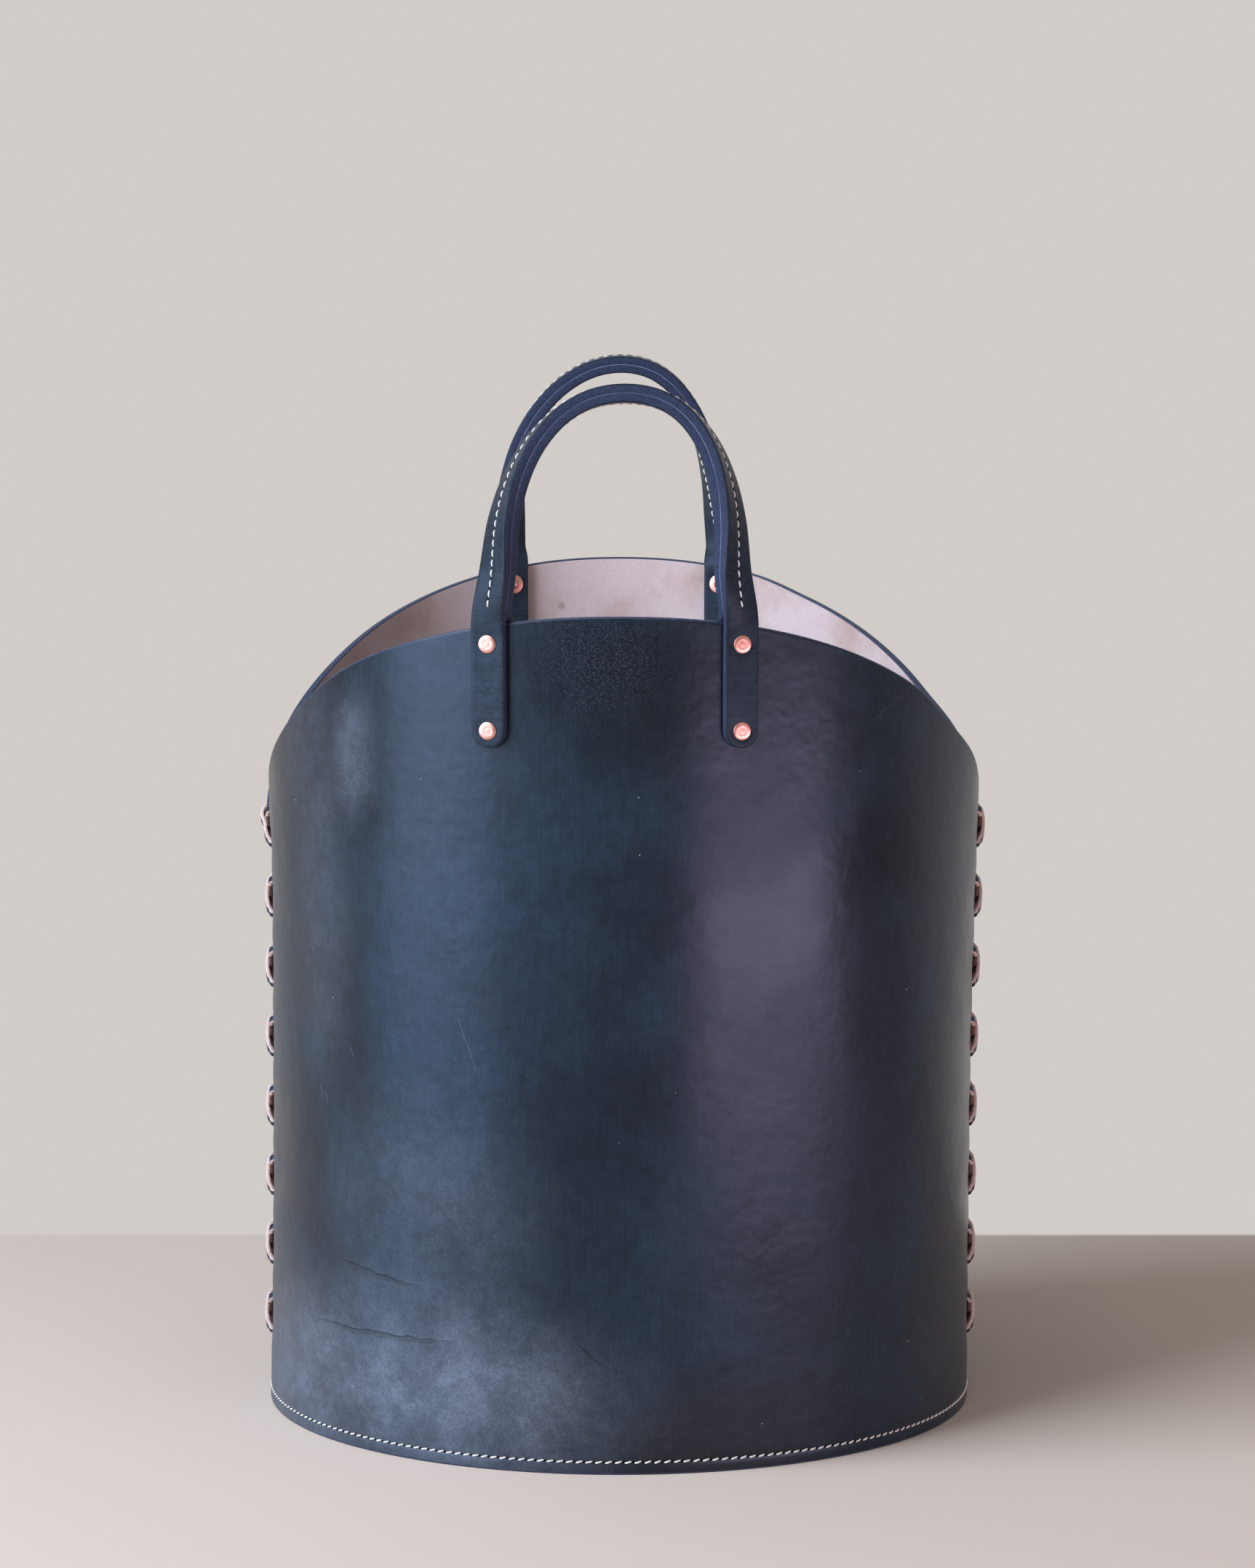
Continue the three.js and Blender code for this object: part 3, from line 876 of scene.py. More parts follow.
@dataclass(frozen=True)
class WallForm:
    """The wall as it was pulled round and laced: a nearly round cone, drawn in at its seams."""

    rim_height: float
    rim_radius: float
    foot_radius: float = 200 * MM
    thickness: float = 4.5 * MM
    seam_drop: float = 124 * MM
    rim_power: float = 1.1
    seam_gap: float = 0.6 * MM
    lowest_hole: float = 37 * MM
    hole_pitch: float = 20.07 * MM
    hole_count: int = 16
    hole_inset: float = 10 * MM
    hole_diameter: float = 6.6 * MM
    left_draw: float = 5.2 * MM
    right_draw: float = -1.1 * MM
    laced_pull: float = 1.2 * MM
    scallop: float = 0.5 * MM
    corner_splay: float = 1.8 * MM
    left_corner_proud: float = 3.0 * MM
    back_flattened: float = 9 * MM
    left_rim_rise: float = 2.3 * MM
    back_rim_drop: float = 1.3 * MM
    right_rim_drop: float = 4 * MM
    wave_height: float = 0.3 * MM

    @property
    def top_hole(self) -> float:
        """Height of the highest lace hole."""
        return self.hole_height(self.hole_count - 1)

    @property
    def hole_arc(self) -> float:
        """Angle from a seam to its lace holes."""
        return self.hole_inset / self.foot_radius

    def hole_height(self, index: int) -> float:
        """Height of a lace hole, counted from the lowest."""
        return self.lowest_hole + index * self.hole_pitch

    def rim(self, angle: Numbers) -> np.ndarray:
        """Height of the rim at an angle round the whole basket.

        Args:
            angle: Angle round the basket.

        Returns:
            The height.
        """
        forward = np.cos(angle)
        cut = self.rim_height - self.seam_drop * (1 - np.abs(forward)) ** self.rim_power
        rise = self.left_rim_rise * (forward > 0) * np.exp(-(((np.sin(angle) + 0.74) / 0.2) ** 2))
        drop = self.back_rim_drop * (forward < 0) * np.sin(2 * angle) ** 2
        corner = np.exp(-(((np.sin(angle) - 0.9) / 0.07) ** 2))
        return cut + rise - drop - self.right_rim_drop * (forward > 0) * corner

    def radius(self, angle: Numbers, height: Numbers) -> np.ndarray:
        """Outer radius of the wall.

        Args:
            angle: Angle round the basket.
            height: Height above the foot.

        Returns:
            Radius with the seams' draw, the lacing's scallops and the hide's own waves.
        """
        side, top, pitch = np.sin(angle), self.top_hole, self.hole_pitch
        across = np.abs(side)
        rise = np.clip(height / top, 0, 1.3)
        draw = np.where(side < 0, self.left_draw, self.right_draw) * across ** 4 * rise
        pull = self.laced_pull * across ** 12 * np.sin(np.pi * np.clip(rise, 0, 1))
        splay = self.corner_splay * across ** 10 * smooth(height, top + 7 * MM, top + 45 * MM)
        phase = 2 * np.pi * (height - self.lowest_hole - pitch / 2) / pitch / 2
        laced = smooth(height, 0, self.lowest_hole) * (1 - smooth(height, top - pitch, top))
        dip = self.scallop * across ** 24 * (0.5 + 0.5 * np.cos(phase)) * laced
        share = height / self.rim_height
        cone = self.foot_radius + (self.rim_radius - self.foot_radius) * share
        held = np.cos(angle) ** 2 * smooth(share, 0.72, 0.82)
        behind = np.cos(angle) < 0
        flat = smooth(side, 0.38, 0.58) * (1 - smooth(side, 0.9, 1.0))
        flat = self.back_flattened * behind * flat * share ** 2
        proud = np.where(behind, 1.0, 0.3) * smooth(-side, 0.8, 1.0)
        proud = self.left_corner_proud * proud * smooth(height, top - 25 * MM, top)
        shape = cone - draw - pull + splay - dip - flat + proud
        return shape + self._waves(angle, share) * (1 - held)

    def _waves(self, angle: Numbers, share: Numbers) -> np.ndarray:
        """Long, low waves that the hide kept, none at the foot.

        Args:
            angle: Angle round the basket.
            share: Height as a share of the rim's.

        Returns:
            Distance outwards.
        """
        waves = (
            np.sin(3 * angle + 5.0 * share + 0.8)
            + 0.8 * np.sin(7 * angle - 3.6 * share + 2.1)
            + 0.6 * np.sin(5 * angle + 11.0 * share + 4.4)
            + 0.35 * np.sin(13 * angle + 7.0 * share + 1.1)
        )
        return self.wave_height * waves * smooth(share, 0, 0.12)

    def point(self, angle: Numbers, height: Numbers, rise: Numbers = 0.0) -> np.ndarray:
        """A place on the wall.

        Args:
            angle: Angle round the basket.
            height: Height above the foot.
            rise: Distance outwards from the outer face.

        Returns:
            The place, or places in rows.
        """
        radius = self.radius(angle, height) + rise
        parts = np.broadcast_arrays(radius * np.sin(angle), -radius * np.cos(angle), height)
        return np.stack(parts, axis=-1)


@dataclass
class WallPanel:
    """One of the two wall panels: half a turn of leather, grain outside, its cut edges rubbed."""

    wall: WallForm
    half: Half
    leather: Sides
    awl: Places
    rivets: Places
    edge_round: float = 0.9 * MM
    round_steps: int = 3
    column_step: float = 4.2 * MM
    row_step: float = 4.5 * MM
    seam_band: float = 24 * MM
    seam_step: float = 2.0 * MM
    stitch_height: float = 7 * MM
    stitch_groove: float = 0.35 * MM
    hole_dish: float = 0.3 * MM
    hole_dish_width: float = 5 * MM

    def build(self, punch: Punch) -> Object:
        """Builds the panel.

        Args:
            punch: Tool that cuts the lace holes, the rivet holes and the awl slots.

        Returns:
            The dressed piece.
        """
        edges, arcs = self._columns()
        angles = self.half.value + arcs / self.wall.foot_radius
        rim = self.wall.rim(angles)
        rings, slots = self._sections(rim)
        r, thickness = self.edge_round, self.wall.thickness
        inset = r - np.sqrt(np.maximum(0, r ** 2 - np.maximum(0, r - edges) ** 2))
        points = []
        for depth, height in rings:
            deep = inset + depth * (1 - 2 * inset / thickness)
            high = inset + height * (1 - 2 * inset / rim)
            points.append(self.wall.point(angles, high, -deep - self._hollows(angles, high)))
        grid = np.stack(points, axis=1)
        faces, kinds = self._faces(grid.shape[0], len(rings), slots)
        name = f"{self.half.label}_wall"
        mesh = new_mesh(name, grid.reshape(-1, 3), faces, kinds)
        piece = new_object(name, mesh, *self.leather)
        punch.cut(piece, self._lace_holes(), 24)
        punch.cut(piece, self.rivets, 20)
        punch.cut(piece, self.awl, 4)
        self._finish(piece)
        return piece

    def _columns(self) -> tuple[np.ndarray, np.ndarray]:
        """Distance of each column from its nearer cut edge, and its arc from the middle.

        Returns:
            The distances and the arcs.
        """
        reach = self.wall.foot_radius * QUARTER - self.wall.seam_gap / 2
        round_stops = [share * self.edge_round for share in (0, 0.1, 0.35, 0.7, 1)]
        band = np.arange(self.edge_round + self.seam_step, self.seam_band, self.seam_step)
        left = np.array([*round_stops, *band]) - reach
        count = int((2 * (reach - self.seam_band)) / self.column_step)
        middle = np.linspace(-reach + self.seam_band, reach - self.seam_band, count)
        arcs = np.concatenate([left, middle, -left[::-1]])
        return reach - np.abs(arcs), arcs

    def _sections(self, rim: np.ndarray) -> tuple[list[tuple[float, np.ndarray]], list[int]]:
        """The panel's section at every column, as a closed loop.

        Args:
            rim: Height of the rim at each column.

        Returns:
            Depth below the outer face and heights of each point of the loop, and the material
            index of the stretch that follows it.
        """
        r, t = self.edge_round, self.wall.thickness
        low = [r, *(h * MM for h in (3, 4.5, 5.6, 6.3, 7, 7.7, 8.4, 9.5, 12))]
        high = [*(h * MM for h in (9, 6, 3.5, 2)), r]
        count = int((self.wall.rim_height - low[-1] - high[0]) / self.row_step)
        rows = [np.full_like(rim, height) for height in low]
        rows += [low[-1] + (rim - high[0] - low[-1]) * (k + 1) / (count + 1) for k in range(count)]
        rows += [rim - drop for drop in high]
        turns = [QUARTER * k / self.round_steps for k in range(1, self.round_steps + 1)]
        bottom = np.zeros_like(rim)
        loop = [(0.0, row) for row in rows]
        loop += [(r - r * math.cos(a), rim - r + r * math.sin(a)) for a in turns]
        loop += [(t - r + r * math.sin(a), rim - r + r * math.cos(a)) for a in (0, *turns)]
        loop += [(t, row) for row in rows[-2::-1]]
        loop += [(t - r + r * math.cos(a), bottom + r - r * math.sin(a)) for a in turns]
        loop += [(r - r * math.sin(a), bottom + r - r * math.cos(a)) for a in (0, *turns[:-1])]
        arc = 2 * len(turns) + 1
        slots = [0] * (len(rows) - 1) + [1] * arc + [2] * (len(rows) - 1) + [1] * arc
        return loop, slots

    def _hollows(self, angles: np.ndarray, heights: np.ndarray) -> np.ndarray:
        """How far the leather is pulled in, at the stitched line and round each lace hole.

        Args:
            angles: Angle of each column.
            heights: Height of each column.

        Returns:
            The depths.
        """
        wall = self.wall
        groove = self.stitch_groove * np.exp(-((heights - self.stitch_height) / (1.1 * MM)) ** 2)
        dish = np.zeros_like(heights)
        for angle, height in self._holes():
            away = np.hypot((angles - angle) * wall.foot_radius, heights - height)
            dish += self.hole_dish * np.exp(-((away / self.hole_dish_width) ** 2))
        return groove + dish

    def _faces(
        self, columns: int, count: int, slots: list[int]
    ) -> tuple[list[tuple[int, ...]], list[int]]:
        """Faces between the sections, and the caps at the two seams.

        Args:
            columns: Number of sections.
            count: Points in each.
            slots: Material index round a section.

        Returns:
            The faces, and the material index of each.
        """
        faces, kinds = [], []
        for column, k in product(range(columns - 1), range(count)):
            after = (k + 1) % count
            a, b = column * count + k, column * count + after
            faces.append((a, b, b + count, a + count))
            kinds.append(slots[k])
        half = slots.count(0) + 1
        turn = self.round_steps * 2 + 1
        for base, way in ((0, -1), ((columns - 1) * count, 1)):
            caps = [[*range(half - 1, half + turn)], [*range(2 * half + turn - 2, count), 0]]
            for k in range(half - 1):
                inner = half - 1 + turn + (half - 1 - k)
                caps.append([k, k + 1, inner - 1, inner])
            faces += [tuple(base + k for k in cap[::way]) for cap in caps]
            kinds += [1] * len(caps)
        return faces, kinds

    def _holes(self) -> list[tuple[float, float]]:
        """Angle and height of each lace hole."""
        ends = [self.half.value + s * (QUARTER - self.wall.hole_arc) for s in (-1, 1)]
        return list(product(ends, map(self.wall.hole_height, range(self.wall.hole_count))))

    def _lace_holes(self) -> Places:
        """Where the lace holes go.

        Returns:
            Their places.
        """
        wall = self.wall
        angles, heights = np.array(self._holes()).T
        middles = wall.point(angles, heights, -wall.thickness / 2)
        size = (wall.hole_diameter, wall.hole_diameter, 4 * wall.thickness)
        return Places(middles, outward(angles), np.tile(UP, (len(angles), 1)), size)

    def _finish(self, piece: Object) -> None:
        """Lays the hide's own measure over the piece and keeps its cut arrises crisp.

        Args:
            piece: The panel.
        """
        mesh = piece.data
        places = vertex_places(mesh)
        angle = np.arctan2(places[:, 0], -places[:, 1]) - self.half.value
        arc = (np.mod(angle + np.pi, 2 * np.pi) - np.pi) * self.wall.foot_radius
        corners = np.empty(len(mesh.loops), np.int32)
        mesh.loops.foreach_get("vertex_index", corners)
        away = np.hypot(places[:, 0], places[:, 1])
        for name, rise in (("hide", places[:, 2]), ("run", away)):
            pair = np.stack([arc, rise], axis=1)[corners]
            mesh.uv_layers.new(name=name).data.foreach_set("uv", pair.ravel())
        mesh.polygons.foreach_set("use_smooth", [True] * len(mesh.polygons))
        mesh.set_sharp_from_angle(angle=CRISP_LEATHER)


@dataclass
class FootSeam:
    """The row of saddle stitch through the wall and the base's flange."""

    wall: WallForm
    height: float = 7 * MM
    pitch: float = 5.28 * MM
    stitch_share: float = 0.7
    thread: float = 1.0 * MM
    slant: float = math.radians(16)
    slot: tuple[float, float, float] = (2.3 * MM, 1.15 * MM, 3.0 * MM)
    flange_gap: float = 0.3 * MM
    flange_thickness: float = 4.5 * MM
    joint_clearance: float = 5.5 * MM
    groove: float = 0.3 * MM
    slot_lean: float = math.radians(55)
    unevenness: float = 0.06
    seed: int = 3

    def stitches(self, half: Half, inside: bool = False) -> Places:
        """Middles of the stitches on one panel.

        Args:
            half: The panel.
            inside: Whether they lie on the flange's inner face instead.

        Returns:
            The places, with the thread's direction as heading.
        """
        reach = QUARTER * self.wall.foot_radius - self.joint_clearance
        count = round(2 * reach / self.pitch)
        angles = half.value + np.linspace(-reach, reach, count) / self.wall.foot_radius
        through = self.wall.thickness + self.flange_gap + self.flange_thickness
        deep, way = (through, -1.0) if inside else (self.groove, 1.0)
        along = np.stack([np.cos(angles), np.sin(angles), 0 * angles], axis=1)
        return Places(self.wall.point(angles, self.height, -deep), way * outward(angles), along)

    def slots(self, half: Half) -> Places:
        """Awl slots between the stitches of one panel, slanting as the thread does.

        Args:
            half: The panel.

        Returns:
            Their places.
        """
        middles = self.stitches(half)
        steps = (middles.points[1:] + middles.points[:-1]) / 2
        axes = unit(middles.axes[1:] + middles.axes[:-1])
        along = unit(middles.headings[1:] + middles.headings[:-1])
        lean = self.slot_lean
        heading = along * math.cos(lean) + np.array(UP) * math.sin(lean)
        return Places(steps, axes, heading, self.slot)

    def sew(self, sewing: Sewing, thread: Material) -> Object:
        """Sews the seam, outside and inside.

        Args:
            sewing: Tool that lays the stitches.
            thread: Material of the thread.

        Returns:
            The row of stitches.
        """
        rows = [self.stitches(half, inside) for half in Half for inside in (False, True)]
        piece = Places.joined(rows).as_object("foot_stitching")
        sewing.run(
            piece,
            Length=self.pitch * self.stitch_share,
            Thread=self.thread,
            Slant=self.slant,
            Unevenness=self.unevenness,
            Seed=self.seed,
            Material=thread,
        )
        return piece


@dataclass
class BasketBase:
    """The base: a disc of leather whose edge was moulded down into a flange."""

    wall: WallForm
    flesh: Material
    gap: float = 0.3 * MM
    thickness: float = 4.5 * MM
    depth: float = 16 * MM
    bend: float = 6 * MM
    edge_round: float = 0.8 * MM
    sag: float = 1.2 * MM
    segments: int = 160
    bend_steps: int = 6

    def build(self) -> Object:
        """Builds the base as a turned piece that dips a little in the middle.

        Returns:
            The dressed piece.
        """
        outer = self.wall.foot_radius - self.wall.thickness - self.gap
        axis, centre = outer - self.bend, self.depth - self.bend
        turns = [QUARTER * k / self.bend_steps for k in range(self.bend_steps + 1)]
        upper = [
            (axis * share, self.depth - self.sag * (1 - share ** 2) ** 2)
            for share in np.linspace(0, 0.97, 22)
        ]
        bend, inner = self.bend, self.bend - self.thickness
        outline = list(upper)
        outline += [(axis + bend * math.sin(a), centre + bend * math.cos(a)) for a in turns]
        r, t = self.edge_round, self.thickness
        outline += [(outer, r), (outer - 0.3 * r, 0.3 * r), (outer - r, 0.0)]
        outline += [(outer - t + r, 0.0), (outer - t + 0.3 * r, 0.3 * r), (outer - t, r)]
        outline += [(axis + inner * math.sin(a), centre + inner * math.cos(a)) for a in turns[::-1]]
        outline += [(radius, height - t) for radius, height in reversed(upper)]
        name = "base_leather"
        return new_object(name, lathe(outline, self.segments, name), self.flesh)


def catmull_rom(knots: np.ndarray, steps: int, power: float = 0.5) -> np.ndarray:
    """Catmull-Rom curve through knots.

    Args:
        knots: The points that the curve passes, one to a row.
        steps: Points to make of each stretch between two knots.
        power: How far apart knots count, 0.5 being centripetal and 0 uniform.

    Returns:
        Points along the curve, both ends included.
    """
    ends = [2 * knots[0] - knots[1], *knots, 2 * knots[-1] - knots[-2]]
    made = [knots[0]]
    for a, b, c, d in zip(ends, ends[1:], ends[2:], ends[3:]):
        spans = [max(np.linalg.norm(q - p) ** power, 1e-9) for p, q in ((a, b), (b, c), (c, d))]
        before = (b - a) / spans[0] - (c - a) / (spans[0] + spans[1]) + (c - b) / spans[1]
        after = (c - b) / spans[1] - (d - b) / (spans[1] + spans[2]) + (d - c) / spans[2]
        for step in range(1, steps + 1):
            u = step / steps
            made.append(
                (2 * u ** 3 - 3 * u ** 2 + 1) * b
                + (u ** 3 - 2 * u ** 2 + u) * before * spans[1]
                + (3 * u ** 2 - 2 * u ** 3) * c
                + (u ** 3 - u ** 2) * after * spans[1]
            )
    return np.array(made)


class Line:
    """The middle line of a strip of leather, with the direction that its upper face looks."""

    def __init__(self, points: np.ndarray, normals: np.ndarray) -> None:
        """Measures the line.

        Args:
            points: Places along it, one to a row.
            normals: Direction out of the upper face at each.
        """
        self.lengths = travelled(points)
        self.points = points
        self.tangents = unit(np.gradient(points, axis=0))
        square = normals - self.tangents * np.sum(normals * self.tangents, axis=1, keepdims=True)
        self.normals = unit(square)
        self.widths = np.cross(self.tangents, self.normals)

    @property
    def length(self) -> float:
        """Whole length."""
        return float(self.lengths[-1])

    def raised(self, offset: np.ndarray) -> "Line":
        """The line moved out along its normals."""
        return Line(self.points + self.normals * offset[:, None], self.normals)

    def at(self, rows: np.ndarray, along: np.ndarray) -> np.ndarray:
        """Values between the given rows at distances along the line."""
        parts = [np.interp(along, self.lengths, rows[:, k]) for k in range(rows.shape[1])]
        return np.stack(parts, axis=-1)

    def place(self, along: np.ndarray, across: np.ndarray, up: np.ndarray) -> np.ndarray:
        """Places on the strip, from distances along, across and above its middle line.

        Args:
            along: Distances along the line.
            across: Distances across it.
            up: Distances above it.

        Returns:
            The places.
        """
        return (
            self.at(self.points, along)
            + self.at(self.widths, along) * np.asarray(across)[..., None]
            + self.at(self.normals, along) * np.asarray(up)[..., None]
        )


def strip_mesh(
    name: str,
    rings: np.ndarray,
    slots: np.ndarray,
    along: np.ndarray,
    girth: np.ndarray,
    capped: bool,
) -> Mesh:
    """Joins rings of points into a closed strip, measured along and round for its materials.

    Args:
        name: Name of the mesh.
        rings: Points by ring, place round the ring, and coordinate.
        slots: Material index by ring and place, of the face that starts there.
        along: Distance along by ring and place.
        girth: Distance round by place.
        capped: Whether the ends get a face each. Otherwise the end rings must close by themselves.

    Returns:
        The mesh.
    """
    count, around = rings.shape[:2]
    faces, kinds, measure = [], [], []
    for i, k in product(range(count - 1), range(around)):
        after = (k + 1) % around
        a, b = i * around + k, i * around + after
        faces.append((a, b, b + around, a + around))
        kinds.append(int(slots[i, k]))
        low, high = girth[k], girth[k + 1]
        measure += [(along[i, k], low), (along[i, after], high)]
        measure += [(along[i + 1, after], high), (along[i + 1, k], low)]
    if capped:
        for base, way in ((0, -1), ((count - 1) * around, 1)):
            faces.append(tuple(base + k for k in range(around))[::way])
            kinds.append(int(slots[0, 0]))
            measure += [(girth[k], 0.0) for k in range(around)][::way]
    mesh = bpy.data.meshes.new(name)
    mesh.from_pydata([tuple(p) for p in rings.reshape(-1, 3)], [], faces)
    mesh.polygons.foreach_set("material_index", kinds)
    for layer in ("hide", "run"):
        mesh.uv_layers.new(name=layer).data.foreach_set("uv", np.array(measure).ravel())
    shape = bmesh.new()
    shape.from_mesh(mesh)
    bmesh.ops.remove_doubles(shape, verts=shape.verts, dist=1e-6)
    bmesh.ops.recalc_face_normals(shape, faces=shape.faces)
    shape.to_mesh(mesh)
    shape.free()
    return faced_out(mesh)


@dataclass(frozen=True)
class HandleForm:
    """How a handle runs: up the wall astride it, together above the rim, over and down again."""

    wall: WallForm
    half: Half
    lean: float
    turned: float
    sway: float = 0.0
    spread: float = 129.8 * MM
    strap_width: float = 18.5 * MM
    ply_thickness: float = 4.85 * MM
    gap: float = 0.3 * MM
    upper_rivet_drop: float = 15 * MM
    rivet_spacing: float = 46.3 * MM
    rivet_bore: float = 3.9 * MM
    fork_rise: float = 8 * MM
    straighten_rise: float = 60 * MM
    spring_rise: float = 24 * MM
    draw_in: float = 3.3 * MM
    arch_rise: float = 116.8 * MM
    arch_setback: float = 7 * MM
    arch_tilt: float = math.radians(6)
    lean_power: float = 1.9
    sway_power: float = 0.7
    width_power: float = 2.2
    height_power: float = 2.3
    twist_power: float = 1.85
    arch_knots: int = 7
    knot_steps: int = 48

    @property
    def foot_angle(self) -> float:
        """Angle of each foot from the panel's middle."""
        return math.asin(self.spread / 2 / self.wall.foot_radius)

    @property
    def fork_height(self) -> float:
        """Where the plies leave the wall."""
        inner_edge = self.foot_angle - self.strap_width / 2 / self.wall.foot_radius
        return float(self.wall.rim(inner_edge)) + self.gap

    @property
    def rivet_heights(self) -> tuple[float, float]:
        """Heights of the upper and the lower rivet of a foot."""
        upper = self.wall.rim_height - self.upper_rivet_drop
        return upper, upper - self.rivet_spacing

    @property
    def hollow(self) -> float:
        """How far the wall's hollow side stands proud of a flat strap across it."""
        inner = self.wall.foot_radius - self.wall.thickness
        return self.strap_width ** 2 / (8 * inner)

    def on_wall(self, angle: float, height: float) -> np.ndarray:
        """Middle of the wall's thickness, in the front panel's frame.

        Args:
            angle: Angle from the panel's middle.
            height: Height above the foot.

        Returns:
            The place.
        """
        wall = self.wall
        share = height / wall.rim_height
        radius = wall.foot_radius + (wall.rim_radius - wall.foot_radius) * share
        radius -= wall.thickness / 2
        return np.array([radius * math.sin(angle), -radius * math.cos(angle), height])

    def bores(self) -> Places:
        """Where the rivet holes are punched, right through the leather."""
        return replace(self.rivet_places(), size=(self.rivet_bore, self.rivet_bore, 60 * MM))

    def rivet_places(self) -> Places:
        """Where the rivets go through the wall.

        Returns:
            The middles of the wall's thickness there, with the outward direction as axis.
        """
        turned = product(Side, self.rivet_heights)
        points = [self.on_wall(side.value * self.foot_angle, height) for side, height in turned]
        turn = np.array(Matrix.Rotation(self.half.value + self.turned, 3, "Z"))
        rows = np.array(points) @ turn.T
        return Places(rows, unit(rows * LEVEL), np.tile(UP, (len(rows), 1)))

    def _half_line(self) -> tuple[np.ndarray, np.ndarray]:
        """Right half of the middle line, from the foot's end to the top, with its normals.

        Returns:
            The points and the normals.
        """
        fork, angle = self.fork_height, self.foot_angle
        end = self.rivet_heights[1] - self.strap_width / 2
        knots = [self.on_wall(angle, height) for height in (end, fork - self.strap_width / 2, fork)]
        spring, top = fork + self.spring_rise, self.wall.rim_height + self.arch_rise
        for turn in np.linspace(0, QUARTER, self.arch_knots):
            wide = max(0, math.cos(turn)) ** (2 / self.width_power)
            across = (self.spread / 2 - self.draw_in) * wide
            up = (top - spring) * math.sin(turn) ** (2 / self.height_power)
            inwards = self.arch_setback + up * math.tan(self.arch_tilt)
            knots.append(np.array([across, inwards - self.wall.foot_radius, spring + up]))
        knots.append(knots[-2] * MIRROR)
        points = catmull_rom(np.array(knots), self.knot_steps)[:-self.knot_steps]
        lengths, foot = travelled(points), fork - end
        share = np.clip((lengths - foot) / (lengths[-1] - foot), 0, 1)
        turn = QUARTER - (QUARTER - angle) * (1 - share) ** self.twist_power
        tangents = unit(np.gradient(points, axis=0))
        aside = np.stack([tangents[:, 2], 0 * turn, -tangents[:, 0]], axis=1)
        normals = unit(aside) * np.sin(turn)[:, None]
        tilt = math.sin(self.arch_tilt) * smooth(share, 0, 0.3) * normals[:, 2]
        normals[:, 1] = tilt - np.cos(turn)
        return points, normals

    def middle(self) -> Line:
        """The whole middle line, from the left foot's end to the right one's.

        Returns:
            The line.
        """
        halves = self._half_line()
        points, normals = (np.concatenate([half[:-1] * MIRROR, half[::-1]]) for half in halves)
        risen = np.maximum(0, points[:, 2] - self.wall.rim_height) / self.arch_rise
        points[:, 0] += self.lean * risen ** self.lean_power
        points[:, 0] += self.sway * np.sin(math.pi * np.clip(risen, 0, 1) ** self.sway_power)
        turn = np.array(Matrix.Rotation(self.half.value + self.turned, 3, "Z"))
        return Line(points @ turn.T, normals @ turn.T)

    @property
    def _sewn(self) -> float:
        """From the joint between the plies to the middle of either."""
        return (self.ply_thickness + self.gap) / 2

    @property
    def _astride(self) -> float:
        """From the middle of the wall to the middle of the outer ply at a foot."""
        return (self.wall.thickness + self.ply_thickness) / 2 + self.gap

    def _outer_offset(self, height: np.ndarray) -> np.ndarray:
        """From the middle line to the middle of the outer ply, which bends hardly at the fork."""
        straight = smooth(height, self.fork_height, self.fork_height + self.straighten_rise)
        return self._astride + (self._sewn - self._astride) * straight

    def joint(self) -> Line:
        """The line where the plies meet above the fork."""
        line = self.middle()
        return line.raised(self._outer_offset(line.points[:, 2]) - self._sewn)

    def ply_middle(self, ply: Ply) -> Line:
        """Middle line of one ply. Above the fork the inner one comes across to the outer one.

        Args:
            ply: The ply.

        Returns:
            Its line.
        """
        line = self.middle()
        height = line.points[:, 2]
        offset = self._outer_offset(height)
        if ply is Ply.INNER:
            fork, foot = self.fork_height, self._astride + self.hollow
            together = smooth(height, fork - self.gap, fork + self.fork_rise)
            offset = foot + (2 * self._sewn - offset - foot) * together
        return line.raised(ply.value * offset)


